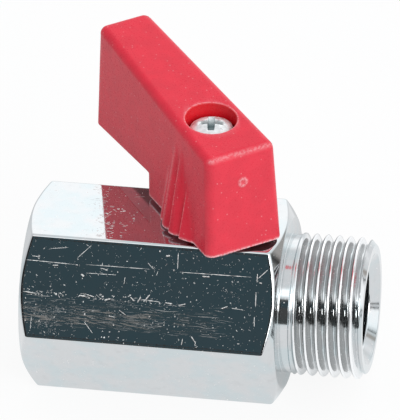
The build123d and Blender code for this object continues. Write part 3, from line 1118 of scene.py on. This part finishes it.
@dataclass
class FlatScars:
    """Lens-shaped slivers that stand a hair proud of a flat: scratches, chips, specks and painted
    shadows.
    """

    name: str
    edge: Triple
    down: Triple
    out: Triple
    seed: int = 11
    size_power: float = 2.5
    wear_power: float = 1.5
    end_gap: float = 0.3
    down_gaps: Span = (0.5, 0.45)
    run_out: float = 6.0
    run_out_power: float = 0.6
    flutter: Span = (0.25, 1.25)
    foot: float = 0.002
    sunk: float = 0.03
    broad: float = 0.095
    # Painted shadow under each broad mark: the shift of its start, end and width
    bruise_shift: tuple[float, ...] = (0.03, 0.06, 0.03, 0.06, 0.1)
    border_width: float = 0.16
    border_flutter: Span = (0.6, 1.6)
    border_inset: float = 0.27
    border_curve: tuple[float, float, int] = (0.45, 11.65, 33)
    border_ends: float = 1.5
    border_steps: int = 61
    border_levels: Span = (0.42, 11.7)

    def strew(self, zone: Strewing) -> Array:
        """Marks strewn over a part of the flat, most of them small.

        Args:
            zone: their number, place and sizes.
        Returns:
            Rows of start, end and width.
        """
        count, (short, long), (narrow, wide) = zone.count, zone.length, zone.width
        dice = np.random.default_rng(self.seed + count)
        spans = (zone.along, zone.down)
        start = np.stack([dice.uniform(*span, count) for span in spans], axis=-1)
        angle = np.radians(dice.normal(0.0, zone.turn, count))
        reach = short + (long - short) * dice.uniform(0.0, 1.0, count) ** self.size_power
        end = start + reach[:, None] * np.stack([np.cos(angle), np.sin(angle)], axis=-1)
        width = narrow + (wide - narrow) * dice.uniform(0.0, 1.0, count) ** self.size_power
        return np.column_stack([start, end, width])

    def chamfer(self, down: Array) -> Array:
        """How far an end's chamfer reaches along the flat: (h / cos d - circle) tan 30."""
        slope = math.tan(SIXTH / 2.0)
        return (np.hypot(HALF_FLATS, down - HALF_FLATS * slope) - CHAMFER_CIRCLE) * slope

    def strewn(self, zones: tuple[Strewing, ...]) -> Array:
        """Strewn marks whose ends lie on the flat, clear of its edges and of the chamfers' curves.

        Args:
            zones: where and how marks are strewn.
        Returns:
            Rows of start, end and width.
        """
        marks = np.concatenate([self.strew(zone) for zone in zones])
        along, down = marks[:, 0:3:2], marks[:, 1:4:2]
        cut = self.chamfer(down) + self.end_gap
        high, low = self.down_gaps
        inside = (along > BAR_ENDS[0] + cut) & (along < BAR_ENDS[1] - cut)
        inside &= (down > high) & (down < 2.0 * HALF_FLATS * math.tan(SIXTH / 2.0) - low)
        return marks[inside.all(axis=1)]

    def border(self) -> Array:
        """Painted shade: dark lines along the flat's outline, both chamfers' curves and both long
        edges.

        Returns:
            Rows of start, end and width.
        """
        dice = np.random.default_rng(self.seed)
        down = np.linspace(*self.border_curve)
        inset = self.chamfer(down) + self.border_inset
        along = np.linspace(BAR_ENDS[0] + self.border_ends, BAR_ENDS[1] - self.border_ends,
                            self.border_steps)
        tracks = [(BAR_ENDS[0] + inset, down), (BAR_ENDS[1] - inset, down)]
        tracks += [(along, np.full_like(along, level)) for level in self.border_levels]
        lines = np.concatenate([np.column_stack([x[:-1], y[:-1], x[1:], y[1:]]) for x, y in tracks])
        width = self.border_width * dice.uniform(*self.border_flutter, len(lines))
        return np.column_stack([lines, width])

    def slivers(self, marks: Array, steps: int, wear_and_painted_light: Span, proud: float) -> list[Patch]:
        """A closed sliver for each mark: a rhombus section whose width flutters and runs out.

        Args:
            marks: rows of start, end and width.
            steps: number of sections.
            wear_and_painted_light: least and most share, which sets how bright a mark is, from
                painted shadow to torn plate.
            proud: how far it stands out.
        Returns:
            One patch a mark.
        """
        dice = np.random.default_rng(self.seed + steps)
        share = np.linspace(0.0, 1.0, steps)
        start, end = marks[:, None, 0:2], marks[:, None, 2:4]
        line = end - start
        side = np.stack([-line[..., 1], line[..., 0]], axis=-1)
        side = side / np.linalg.norm(line, axis=-1, keepdims=True)
        taper = np.minimum(1.0, self.run_out * np.minimum(share, 1.0 - share)) ** self.run_out_power
        half = marks[:, 4:5] / 2.0 * taper * dice.uniform(*self.flutter, (len(marks), steps))
        centre = start + line * share[:, None]
        rhombus = np.array([-1.0, 0.0, 1.0, 0.0])[:, None]
        spread = centre[:, :, None] + side[:, :, None] * half[..., None, None] * rhombus
        lift = np.array([self.foot, proud, self.foot, -self.sunk]) * taper[:, None]
        points = np.array(self.edge) + spread[..., :1] * (1.0, 0.0, 0.0)
        points = points + spread[..., 1:] * np.array(self.down)
        points = points + lift[..., None] * np.array(self.out)
        worn_and_lit = wear_and_painted_light[0] + (wear_and_painted_light[1] - wear_and_painted_light[0]) * dice.uniform(0.0, 1.0, len(marks)) ** self.wear_power
        return [Patch(grid, wear_and_painted_light=level) for grid, level in zip(points, worn_and_lit)]

    def front(self) -> list[Patch]:
        """The front flat's marks: those placed one by one, painted shadows under broad ones and
        along the outline, strewn ones.

        Returns:
            One patch a mark.
        """
        marks = np.array(FLAT_MARKS)
        # Painted shadows under broad marks and painted dark lines along the outline
        shadow_marks = marks[marks[:, 4] > self.broad] + self.bruise_shift
        dark = np.concatenate([shadow_marks, self.border()])
        chips, scuffs = self.strewn(FRONT_CHIPS), self.strewn(FRONT_SCUFFS)
        return [*self.slivers(dark, steps=9, wear_and_painted_light=(0.0, 0.0), proud=0.004),
                *self.slivers(marks, steps=31, wear_and_painted_light=(0.75, 1.0), proud=0.014),
                *self.slivers(chips, steps=7, wear_and_painted_light=(0.25, 1.0), proud=0.014),
                *self.slivers(scuffs, steps=6, wear_and_painted_light=(0.1, 0.5), proud=0.01)]

    def top(self) -> list[Patch]:
        """The top flat's marks: chips along the front edge and fine scratches along the bar."""
        return self.slivers(self.strewn(TOP_MARKS), steps=7, wear_and_painted_light=(0.6, 1.0), proud=0.01)

    def build(self, patches: list[Patch], coat: Material) -> None:
        """Join the marks into one piece and dress it."""
        settle(sew(self.name, patches), Body.BARREL, None, coat)


@dataclass
class MouldedLever:
    """The red lever: a drafted blade with a fluted boss at its hub and a counterbore."""

    bearing: float = 128.0
    floor: float = 21.5
    sharp_deg: float = 38.0
    hub_reach: float = 8.05
    hub_far_reach: float = 8.6
    height: float = 13.44
    top_slope: float = 5.7
    end_draft: float = 2.65
    side_draft: float = 1.9
    taper: float = 2.2
    half_width: float = 4.62
    grip_reach: float = 22.1
    grip_lift: float = 3.0
    grip_droop: float = 3.4
    corner_round: float = 1.0
    least_round: float = 0.08
    top_round: float = 0.9
    foot_round: float = 0.12
    hub_round: float = 0.1
    foot_land: float = 0.25
    boss_radius: float = 6.2
    boss_top: float = 4.25
    boss_height: float = 10.6
    boss_fillet: float = 0.25
    flutes: Triple = (1.65, -0.3, -2.1)
    flute_depth: float = 0.45
    flute_steep: float = 0.2
    flute_gentle: float = 2.2
    flute_blend: float = 0.1
    counterbore_rim: float = 0.16
    screw_seat: float = 11.3
    screw_hole: float = 1.55
    seat_round: float = 0.05
    pit_round: float = 0.08
    socket: float = 3.05
    socket_flats: float = 2.25
    socket_top: float = 6.1
    groove_radii: Span = (3.4, 5.4)
    groove_roof: float = 1.5
    groove_span: Span = (-243.3, -130.7)
    groove_lean: float = 0.01
    coarse_columns: int = 6000
    column_step: float = 0.24
    boss_columns: Triple = (62.0, 150.0, 0.6)
    rim_turns: tuple[float, ...] = (22.0, 45.0, 68.0, 90.0)
    top_shares: tuple[float, ...] = (0.02, 0.25, 0.5, 0.75, 0.98)
    crown_rows: int = 9
    side_rows: int = 22
    side_start: Span = (0.02, 0.08)
    hub_shares: tuple[float, ...] = (0.75, 0.5, 0.25, 0.16, 0.1)
    # Painted highlights as (most, spread): along the foot, the near top edge, the hole's rim and
    # the flutes' ridges
    foot_highlight: Span = (1.2, 0.2)
    brow_highlight: Span = (0.4, 0.25)
    brow_spot: Span = (0.95, 1.0)
    rim_highlight: Span = (0.6, 0.13)
    rim_offset: float = 0.06
    ridge_highlight: Span = (0.55, 0.09)
    ridge_shown: Span = (0.02, 0.25)
    gate_radii: tuple[float, ...] = (0.0, 0.16, 0.28, 0.38, 0.48, 0.58, 0.68, 0.76, 0.76, 0.0)
    gate_proud: tuple[float, ...] = (0.03, 0.02, 0.05, 0.1, 0.09, 0.06, 0.02, 0.0, -0.15, -0.15)
    gate_spot: Triple = (-7.641, -0.01, 8.846)
    gate_columns: int = 40
    gate_wear: Span = (5.0, 0.45)

    def __post_init__(self) -> None:
        """Work out the slopes that the draft and taper angles give."""
        self.climb, self.end_lean, self.side_lean, self.narrowing, self.droop = (
            math.tan(math.radians(angle)) for angle in
            (self.top_slope, self.end_draft, self.side_draft, self.taper, self.grip_droop))
        self.far_top = self.height + self.grip_reach * self.climb

    def blade(self, angles: Array, rise: Level, inset: float = 0.0, grip: bool = True) -> Array:
        """Radius of the blade's plan at a height, seen from the stem's axis.

        The plan is four lines n.p = d with rounded corners. A ray leaves it at the smallest
        d / (n.e) over the lines that it faces, or, within a corner's square, on its circle.

        Args:
            angles: ray angles in the lever's own frame, with the grip at 0.
            rise: height above the lever's underside, or one a ray.
            inset: how far the lines move in.
            grip: whether the far line is the grip's end, or the hub's.
        Returns:
            A radius for each ray.
        """
        tiny, never = 1e-6, 1e9
        rise = rise + 0.0 * angles
        rays = np.stack([np.cos(angles), np.sin(angles)])
        width = math.hypot(1.0, self.narrowing)
        side = (self.half_width - rise * self.side_lean) / width - inset
        far = self.grip_reach + (self.far_top - rise) * self.end_lean if grip \
            else self.hub_far_reach + rise * self.end_lean
        normals = np.array([(-1.0, 0.0), (self.narrowing / width, 1.0 / width), (1.0, 0.0),
                            (self.narrowing / width, -1.0 / width)])
        reach = np.stack([self.hub_reach - rise * self.end_lean - inset, side, far - inset, side])
        facing = normals @ rays
        radius = np.where(facing > tiny, reach / np.maximum(facing, tiny), never).min(axis=0)
        rounding = max(self.corner_round - inset, self.least_round)
        for a, b in ((0, 1), (1, 2), (2, 3), (3, 0)):
            (ax, ay), (bx, by) = normals[a], normals[b]
            area = ax * by - ay * bx
            da, db = reach[a] - rounding, reach[b] - rounding
            centre = np.stack([(da * by - db * ay) / area, (ax * db - bx * da) / area])
            spot = radius * rays
            square = (normals[a] @ spot > da) & (normals[b] @ spot > db)
            middle = (centre * rays).sum(axis=0)
            inside = rounding ** 2 - (centre ** 2).sum(axis=0) + middle ** 2
            radius = np.where(square, middle + np.sqrt(np.maximum(inside, 0.0)), radius)
        return radius

    def flute_sides(self, angles: Array, rise: Array) -> tuple[Array, Array]:
        """The boss's cone, and how far each point lies to the side of each flute's foot.

        Args:
            angles: ray angles in the lever's own frame.
            rise: height above the lever's underside.
        Returns:
            The cone's radius and the distances, one layer a flute, alike on both sides.
        """
        share = np.clip(rise / self.boss_height, 0.0, 1.0)
        cone = self.boss_radius + (self.boss_top - self.boss_radius) * share
        half_turn = np.abs((angles + math.pi) % TURN - math.pi)
        offsets = np.array(self.flutes).reshape(-1, *[1] * cone.ndim)
        return cone, cone * np.sin(half_turn - np.arccos(offsets / cone))

    def boss(self, angles: Array, rise: Array) -> Array:
        """Radius of the boss: a cone less saw-tooth flutes, mirrored on both sides of the lever.

        Args:
            angles: ray angles in the lever's own frame.
            rise: height above the lever's underside.
        Returns:
            A radius for each ray, 0 above the boss.
        """
        cone, sides = self.flute_sides(angles, rise)
        radius = cone
        for side in sides:
            slope = np.where(side < 0.0, -side / self.flute_gentle, side / self.flute_steep)
            flute = cone + self.flute_depth * (2.0 * slope - 1.0)
            radius = soft_min(radius, flute, self.flute_blend)
        return np.where(rise < self.boss_height, radius, 0.0)

    def plan(self, angles: Array, rise: Level, grip: bool) -> Array:
        """Radius of the whole lever at a height: the larger of blade and boss, with a fillet."""
        blade = self.blade(angles, rise, grip=grip)
        return -soft_min(-blade, -self.boss(angles, rise + 0.0 * angles), self.boss_fillet)

    def angles(self) -> Array:
        """Ray angles: even steps along the blade's outline, and close together on the boss.

        Returns:
            The angles in rising order.
        """
        coarse = np.linspace(-math.pi, math.pi, self.coarse_columns, endpoint=False)
        radius = self.blade(coarse, self.grip_lift)
        edge = np.stack([radius * np.cos(coarse), radius * np.sin(coarse)])
        run = np.concatenate([[0.0], np.cumsum(np.hypot(*np.diff(edge, axis=1)))])
        even = np.interp(np.arange(0.0, run[-1], self.column_step), run, coarse)
        flank = np.radians(np.arange(*self.boss_columns))
        ends = np.array(self.groove_span)[:, None] + (-self.groove_lean, self.groove_lean)
        ends = (np.radians(ends).ravel() + math.pi) % TURN - math.pi
        return np.unique(np.concatenate([even, flank, -flank, ends]).round(5))

    def rows(self, angles: Array) -> list[Corner]:
        """Corners of the lever's section (radius, height above its underside) along each ray.

        Args:
            angles: ray angles in the lever's own frame.
        Returns:
            Corners as (radius, height, size of the rounding).
        """
        def top(radius: Array) -> Array:
            """Height of the sloping top at a radius."""
            return self.height + radius * np.cos(angles) * self.climb

        def under(radius: Array) -> Array:
            """Height of the grip's drooping underside at a radius."""
            past_hub = np.maximum(radius * np.cos(angles) - self.hub_far_reach, 0.0)
            return self.grip_lift - past_hub * self.droop

        lip, crown = self.counterbore_rim, self.top_round
        wall = COUNTERBORE + 0.0 * angles
        rim = wall + lip
        rows = [(self.screw_hole, self.screw_seat, self.seat_round),
                (wall, self.screw_seat, self.pit_round), (wall, top(wall) - lip, 0.0)]
        for turn in np.radians(self.rim_turns):
            radius = rim - lip * math.cos(turn)
            rows.append((radius, top(radius) - lip * (1.0 - math.sin(turn)), 0.0))
        guess = top(self.blade(angles, self.height, crown))
        edge = self.blade(angles, guess, crown)
        for share in self.top_shares:
            radius = rim + (edge - rim) * share
            rows.append((radius, top(radius), 0.0))
        for turn in np.radians(np.linspace(90.0, 0.0, self.crown_rows)):
            drop = crown * (1.0 - math.sin(turn))
            radius = self.blade(angles, guess - drop, crown * (1.0 - math.cos(turn)))
            rows.append((radius, top(radius) - drop, 0.0))
        shoulder = rows[-1][1]
        lift = under(self.plan(angles, self.grip_lift, True))
        first, second = self.side_start
        for share in (first, *np.linspace(second, 1.0, self.side_rows)[:-1]):
            rise = shoulder + (lift - shoulder) * share
            rows.append((self.plan(angles, rise, True), rise, 0.0))
        rows.append((self.plan(angles, lift, True), lift, self.foot_round))
        hub = self.plan(angles, self.grip_lift, False)
        rows.append((hub, under(hub), self.hub_round))
        for rise in self.grip_lift * np.array(self.hub_shares):
            rows.append((self.plan(angles, rise, False), rise, 0.0))
        foot = self.plan(angles, 0.0, False)
        rows += [(foot, 0.0, self.foot_round), (foot - self.foot_land, 0.0, 0.0)]
        return rows + self.underside(angles)

    def underside(self, angles: Array) -> list[Corner]:
        """Corners of the stop groove, the socket with two flats and the screw hole, from below.

        Args:
            angles: ray angles in the lever's own frame.
        Returns:
            Corners as (radius, height, size of the rounding).
        """
        tiny = 1e-6
        start, end = np.radians(self.groove_span)
        roof = np.where((angles - start) % TURN < end - start, self.groove_roof, 0.0)
        flats = self.socket_flats / np.maximum(np.abs(np.sin(angles)), tiny)
        socket = np.minimum(self.socket, flats)
        inner, outer = self.groove_radii
        return [(outer, 0.0, 0.0), (outer - self.groove_lean, roof, 0.0),
                (inner + self.groove_lean, roof, 0.0), (inner, 0.0, 0.0),
                (socket, 0.0, self.seat_round), (socket, self.socket_top, self.seat_round),
                (self.screw_hole, self.socket_top, self.seat_round)]

    def wear_and_painted_light(self, angles: Array, radius: Array, rise: Array) -> Array:
        """Painted highlights on the edges: bell curves across foot, brow, hole's rim and flutes'
        ridges.

        Args:
            angles: ray angles in the lever's own frame.
            radius: the skin's radius, rows by columns.
            rise: its height above the lever's underside.
        Returns:
            A share for each point.
        """
        along = radius * np.cos(angles)
        outline = self.plan(angles, 0.0, False)
        on_foot = radius > outline - self.foot_highlight[1]
        off_brow = np.hypot(along + self.hub_reach - self.brow_spot[0],
                            rise - self.height + self.brow_spot[1])
        off_rim = np.hypot(radius - COUNTERBORE - self.rim_offset,
                           rise - self.height - along * self.climb)
        sides = self.flute_sides(angles, rise)[1] - self.flute_steep / 2.0
        flat_side = np.stack([self.blade(angles, level) for level in rise])
        shown = smoothstep(radius - flat_side, *self.ridge_shown) * (rise < self.boss_height)
        worn_and_lit = 0.0
        for (most, spread), distance, share in (
                (self.foot_highlight, rise, on_foot), (self.rim_highlight, off_rim, 1.0),
                (self.brow_highlight, off_brow, 1.0),
                (self.ridge_highlight, np.abs(sides).min(axis=0), shown)):
            worn_and_lit = worn_and_lit + most * bell(distance, spread) * share
        return np.clip(worn_and_lit, 0.0, 1.0)

    def gate_mark(self) -> bpy.types.Object:
        """The gate's scar on the hub's end: a low ring round a pit, turned about the end's normal.

        Returns:
            The piece, at the lever's bearing.
        """
        proud = np.array(self.gate_proud)
        disc = lathe(np.array(self.gate_radii), proud, full_turn(self.gate_columns))
        lean = math.radians(self.end_draft)
        out = np.array([-math.cos(lean), 0.0, math.sin(lean)])
        up = np.array([math.sin(lean), 0.0, math.cos(lean)])
        points = np.array(self.gate_spot) + disc @ np.stack([np.cross(up, out), up, out])
        steepness, most = self.gate_wear
        worn_and_lit = np.broadcast_to(np.clip(steepness * proud, 0.0, most)[:, None], points.shape[:2])
        return sew("gate_mark", [Patch(about_stem(points, self.bearing, self.floor), wear_and_painted_light=worn_and_lit)])

    def build(self, coat: Material) -> None:
        """Carry the section round all rays, close it through the screw hole, and dress it.

        Args:
            coat: the lever's material.
        """
        angles = self.angles()
        radius, rise = round_track(self.rows(angles), len(angles))
        skin = about_stem(lathe(radius, rise, angles), self.bearing, self.floor)
        patch = Patch(skin, wrap_rows=True, wear_and_painted_light=self.wear_and_painted_light(angles, radius, rise))
        piece = sew("lever_moulding", [patch], self.sharp_deg)
        settle(piece, Body.LEVER, "handle", coat)
        settle(self.gate_mark(), Body.LEVER, None, coat)


@dataclass
class LeverScrew:
    """Pan head screw: a domed head with a cross recess, and a threaded shank."""

    sharp_deg: float = 40.0
    head: float = 2.45
    head_rim: float = 0.9
    crown: float = 1.7
    skirt_shares: tuple[float, ...] = (1.0, 1.0, 0.985, 0.95, 0.6)
    skirt_heights: tuple[float, ...] = (0.9, 0.12, 0.04, 0.0, 0.0)
    shank: float = 1.25
    length: float = 10.0
    tip_shares: Triple = (0.92, 0.55, 0.0)
    tip_heights: Triple = (0.5, 0.0, 0.0)
    tip_length: float = 0.8
    pitch: float = 0.45
    rows_per_pitch: float = 8.0
    thread_depth: float = 0.27
    thread_flank: Span = (0.05, 0.45)
    recess_bearing: float = 98.0
    recess_half: float = 0.36
    recess_depth: float = 1.0
    recess_wall: Span = (-0.05, 0.08)
    recess_end: Span = (0.525, 1.6)
    slot_columns: tuple[tuple[float, float, int], ...] = ((0.0, 0.75, 5), (0.85, 1.35, 7))
    dome_columns: tuple[float, int] = (1.6, 26)

    def dome(self, radius: Array) -> Array:
        """Height of the dome above the seat: a circle of the head's diameter by rim and crown.

        Args:
            radius: distance from the screw's axis.
        Returns:
            The height at each distance.
        """
        ball = 2.0 * self.head
        rim_drop = ball - math.sqrt(ball ** 2 - self.head ** 2)
        drop = ball - np.sqrt(ball ** 2 - radius ** 2)
        return self.crown - drop * (self.crown - self.head_rim) / rim_drop

    def head_grid(self) -> tuple[Array, Array]:
        """The head's top: a square grid bent to a disc, with a tapered cross sunk into the dome.

        The point (u, v) goes to head (u sqrt(1 - v^2 / 2), v sqrt(1 - u^2 / 2)). Each arm of the
        cross is a product of two smooth steps, and the recess is as deep as the deeper arm.

        Returns:
            Points about the screw's own axis, heights above the seat, and how deep each is sunk.
        """
        half = self.recess_half / self.head
        start, columns = self.dome_columns
        side = np.concatenate([*(np.linspace(low * half, high * half, count)
                                 for low, high, count in self.slot_columns),
                               np.linspace(start * half, 1.0, columns)])
        line = np.concatenate([-side[:0:-1], side])
        u, v = np.meshgrid(line, line, indexing="ij")
        x = self.head * u * np.sqrt(1.0 - v * v / 2.0)
        y = self.head * v * np.sqrt(1.0 - u * u / 2.0)

        def arm(across: Array, along: Array) -> Array:
            """Depth share of one arm of the cross."""
            wall = smoothstep(np.abs(across) - self.recess_half, *self.recess_wall)
            return (1.0 - wall) * (1.0 - smoothstep(np.abs(along), *self.recess_end))

        sunk = np.maximum(arm(x, y), arm(y, x))
        dome = self.dome(np.minimum(np.hypot(x, y), self.head))
        return np.stack([x, y, dome - sunk * self.recess_depth], axis=-1), sunk

    def build(self, coat: Material) -> None:
        """Join the head's top, its rim and underside, and the shank with its helical thread.

        Args:
            coat: the screw's material.
        """
        top, sunk = self.head_grid()
        ring = np.concatenate([top[:-1, 0], top[-1, :-1], top[:0:-1, -1], top[0, :0:-1]])
        angles = np.arctan2(ring[:, 1], ring[:, 0])
        steps = np.arange(0.0, self.length - self.tip_length, self.pitch / self.rows_per_pitch)
        phase = steps[:, None] / self.pitch + angles / TURN
        groove = self.thread_depth * smoothstep(np.abs(phase - np.round(phase)), *self.thread_flank)
        even = np.ones_like(angles)
        radius = np.concatenate([np.outer(self.skirt_shares, even) * self.head,
                                 self.shank - groove, np.outer(self.tip_shares, even) * self.shank])
        height = np.concatenate([self.skirt_heights, -steps,
                                 np.array(self.tip_heights) - self.length])
        top, skirt = (about_stem(points, self.recess_bearing, SCREW_SEAT)
                      for points in (top, lathe(radius, height, angles)))
        # The sunk share paints shade in the cross recess
        patches = [Patch(top, wrap_columns=False, wear_and_painted_light=sunk), Patch(skirt)]
        piece = sew("lever_screw", patches, self.sharp_deg)
        settle(piece, Body.LEVER, "handle_screw", coat)


@dataclass
class InnerParts:
    """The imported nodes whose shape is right, which get a finish of their own."""

    finishes: dict[str, Finish]

    def build(self) -> None:
        """Put each finish on its node's material slots."""
        for node, finish in self.finishes.items():
            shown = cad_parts[node]
            coat = bpy.data.materials.get(finish.name) or finish.make()
            shown.data.materials.clear()
            shown.data.materials.append(coat)
            LOG.info("%s: packed node in %s", node, finish.name)


# Studio


@dataclass(frozen=True)
class Band:
    """A soft-edged part of the room: its colour, and its steps along x, y, z and frontness."""

    colour: Triple
    steps: Steps


# What the plate mirrors: back wall, far corner, right wall with a seam and a dim strip, two bars
# and the long lamp over the front
ROOM_BANDS = (
    Band((1.38, 1.39, 1.4), {"y": (0.6, 0.8), "z": (0.1, 0.4)}),
    Band((0.46, 0.44, 0.425), {"x": (0.45, 0.65), "y": (0.25, 0.4), "z": (-0.12, 0.1, 0.03)}),
    Band((1.35, 1.36, 1.37), {"x": (0.6, 0.7), "y": (0.25, 0.15), "z": (0.05, 0.1)}),
    Band((0.1, 0.1, 0.1), {"x": (0.6, 0.7), "y": (0.27, 0.31, 0.015), "z": (0.05, 0.1)}),
    Band((0.5, 0.46, 0.43), {"x": (0.6, 0.7), "y": (0.37, 0.48, 0.03), "z": (0.05, 0.1)}),
    Band((0.05, 0.05, 0.05), {"x": (0.8, 0.85), "z": (-0.05, -0.02, 0.008)}),
    Band((0.05, 0.05, 0.05), {"x": (0.8, 0.85), "z": (0.03, 0.06, 0.008)}),
    Band((1.75, 1.75, 1.76), {"front": (0.45, 0.75), "z": (0.66, 0.8, 0.04)}),
)


@dataclass
class Studio:
    """Floor, soft light and camera."""

    azimuth: float = 10.80
    elevation: float = 31.75
    roll: float = -1.27
    distance: float = 1.0
    focal_px: float = 8584.0
    sensor_mm: float = 36.0
    clip_end: float = 20.0
    target: Triple = (-0.001554, 0.0, 0.022297)
    white: Triple = (1.0, 1.0, 1.0)
    floor_radius: float = 0.16
    floor_shares: tuple[float, ...] = (0.0, 0.25, 0.5, 1.0)
    floor_columns: int = 96
    floor_matt: Triple = (0.86, 0.87, 0.875)
    floor_mirrored_glow: Triple = (0.98, 0.99, 1.0)
    floor_shadow_behind: tuple[Triple, Triple] = ((0.56, 0.58, 0.59), (0.66, 0.67, 0.68))
    floor_shadow_left: tuple[Triple, Triple] = ((0.6, 0.61, 0.62), (0.84, 0.85, 0.86))
    floor_seen: float = 0.9
    floor_mirrored: float = 0.85
    front_way: Triple = (-0.14, -0.99, 0.0)
    room_sides: tuple[Triple, Triple] = ((0.76, 0.77, 0.79), (0.93, 0.945, 0.96))
    dusk: tuple[Triple, Triple] = ((0.004, 0.005, 0.006), (0.075, 0.077, 0.077))
    dark: Triple = (0.048, 0.078, 0.092)
    key_place: Triple = (0.55, -0.65, 0.42)
    key_size: float = 0.4
    key_watts: float = 3.3

    def camera(self) -> None:
        """A long lens at the photograph's angle, with its slight roll."""
        azimuth, elevation, roll = map(math.radians, (self.azimuth, self.elevation, self.roll))
        back = Vector((math.sin(azimuth) * math.cos(elevation),
                       -math.cos(azimuth) * math.cos(elevation), math.sin(elevation)))
        level = Vector((math.cos(azimuth), math.sin(azimuth), 0.0))
        right = level * math.cos(roll) + back.cross(level) * math.sin(roll)
        lens = bpy.data.cameras.new("camera")
        lens.sensor_fit = "HORIZONTAL"
        lens.sensor_width = self.sensor_mm
        lens.lens = self.focal_px / IMAGE_WIDTH * self.sensor_mm
        lens.clip_end = self.clip_end
        eye = bpy.data.objects.new("camera", lens)
        axes = Matrix((right, back.cross(right), back)).transposed().to_4x4()
        eye.matrix_world = Matrix.Translation(Vector(self.target) + back * self.distance) @ axes
        bpy.context.scene.collection.objects.link(eye)
        bpy.context.scene.camera = eye

    def floor(self) -> None:
        """A pale round table top, white to the camera, that keeps a soft shadow.

        What the plate mirrors of it is a painted glow, with painted shadow behind the body and,
        further off, on its left.
        """
        shares = np.array(self.floor_shares)
        disc = lathe(shares * self.floor_radius / MM, 0.0 * shares, full_turn(self.floor_columns))
        table = sew("floor", [Patch(disc)])
        coat = bpy.data.materials.new("pale_floor")
        coat.use_nodes = True
        board = Board(coat.node_tree)
        x, y, _ = board.split(board.put("TexCoord").outputs["Object"])
        places = {"x": x, "y": y}
        # To mirrored rays the floor is a painted glow, with painted shadow behind the body and to
        # its left
        behind = board.zone(places, {"x": (-0.025, 0.0145, 0.004), "y": (-0.006, -0.001)})
        beside = board.zone(places, {"x": (-0.026, -0.034), "y": (0.004, 0.014)})
        dim = board.mix(board.ramp(y, 0.002, 0.016), *self.floor_shadow_behind)
        left = board.mix(board.ramp(x, -0.042, -0.07), *self.floor_shadow_left)
        pale = board.layers(self.floor_mirrored_glow, (beside, left), (behind, dim))
        matt = board.put("BsdfDiffuse", {"Color": self.floor_matt})
        mirrored_glow, glow = (board.put("Emission", {"Color": colour, "Strength": 1.0})
                      for colour in (pale, self.white))
        path = board.put("LightPath").outputs
        seen = board.times(path["Is Camera Ray"], self.floor_seen)
        sharp = board.math("MAXIMUM", path["Is Glossy Ray"], path["Is Transmission Ray"])
        surface = matt
        for share, over in ((board.times(sharp, self.floor_mirrored), mirrored_glow), (seen, glow)):
            surface = board.put("MixShader", {0: share, 1: surface.outputs[0], 2: over.outputs[0]})
        board.put("OutputMaterial", {"Surface": surface.outputs[0]})
        table.data.materials.append(coat)

    def world(self) -> None:
        """White all round, with a dark side behind the camera that the plate mirrors."""
        room = bpy.data.worlds.new("studio")
        bpy.context.scene.world = room
        room.use_nodes = True
        board = Board(room.node_tree)
        way = board.put("TexCoord").outputs["Generated"]
        x, y, z = board.split(way)
        flat = board.math("MAXIMUM", board.length(x, y), 0.001)
        front = board.math("DIVIDE", board.dot(way, self.front_way), flat)
        places = {"x": x, "y": y, "z": z, "front": front}
        sky = board.layers(
            board.mix(board.ramp(x, -0.9, 0.3), *self.room_sides),
            *((board.zone(places, band.steps), band.colour) for band in ROOM_BANDS))
        middle = board.zone(places, {"z": (0.4, 0.54, 0.05), "front": (0.95, 0.985)})
        dusk = board.mix(board.ramp(front, 0.9, 0.98), *self.dusk)
        wall = board.mix(middle, dusk, self.dark)
        ring = board.mix(board.zone(places, {"front": (0.45, 0.75), "z": (0.62, 0.58)}), sky, wall)
        seen = board.put("LightPath").outputs["Is Camera Ray"]
        colour = board.mix(seen, ring, self.white)
        light = board.put("Background", {"Color": colour, "Strength": 1.0})
        board.put("OutputWorld", {"Surface": light.outputs[0]})

    def lamp(self) -> None:
        """A soft square lamp, the key light, that faces the object."""
        light = bpy.data.lights.new("key", "AREA")
        light.size = self.key_size
        light.energy = self.key_watts
        lamp = bpy.data.objects.new("key", light)
        aim = (Vector(self.target) - Vector(self.key_place)).to_track_quat("-Z", "Y")
        lamp.matrix_world = Matrix.Translation(self.key_place) @ aim.to_matrix().to_4x4()
        bpy.context.scene.collection.objects.link(lamp)

    def build(self) -> None:
        """Set up the view, the floor, the room and the lamp."""
        bpy.context.scene.view_settings.view_transform = "Standard"
        self.camera()
        self.floor()
        self.world()
        self.lamp()


def main() -> None:
    """Build each sub-assembly, dress it, set up the studio and log each piece's faces."""
    logging.basicConfig(level=logging.INFO, format="%(name)s: %(message)s")
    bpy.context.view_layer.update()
    chrome = ChromePlate("bright_chrome", (0.66, 0.675, 0.685), 0.03, 1.0)
    nylon = MouldedNylon("red_nylon", (0.75, 0.024, 0.052), 0.32)
    zinc = ZincPlate("bright_zinc", (0.86, 0.9, 0.91), 0.34, 0.5)
    HexBody().build(chrome.make())
    bare = BarePlate("scarred_plate", (0.97, 0.97, 0.96), 0.45, 0.15).make()
    front = FlatScars("front_scars", FRONT_EDGE, FRONT_DOWN, FRONT_OUT)
    front.build(front.front(), bare)
    top = FlatScars("top_scars", TOP_EDGE, TOP_DOWN, TOP_OUT)
    top.build(top.top(), bare)
    MouldedLever().build(nylon.make())
    LeverScrew().build(zinc.make())
    seal = SoftRing("white_seal", (0.86, 0.86, 0.83), 0.42)
    brass: Triple = (0.72, 0.55, 0.27)
    InnerParts({
        "seat_retainer": TurnedMetal("brass_ring", brass, 0.3, 1.0, stem_axis=False),
        "inlet_seat": seal,
        "outlet_seat": seal,
        "stem_thrust_washer": seal,
        "ball": TurnedMetal("polished_ball", (0.84, 0.85, 0.86), 0.12, 1.0),
        "stem": TurnedMetal("brass_stem", brass, 0.28, 1.0),
        "stem_o_ring": SoftRing("black_rubber", (0.02, 0.02, 0.021), 0.5),
        "stop_pin": zinc,
    }).build()
    Studio().build()


if __name__ == "__main__":
    main()
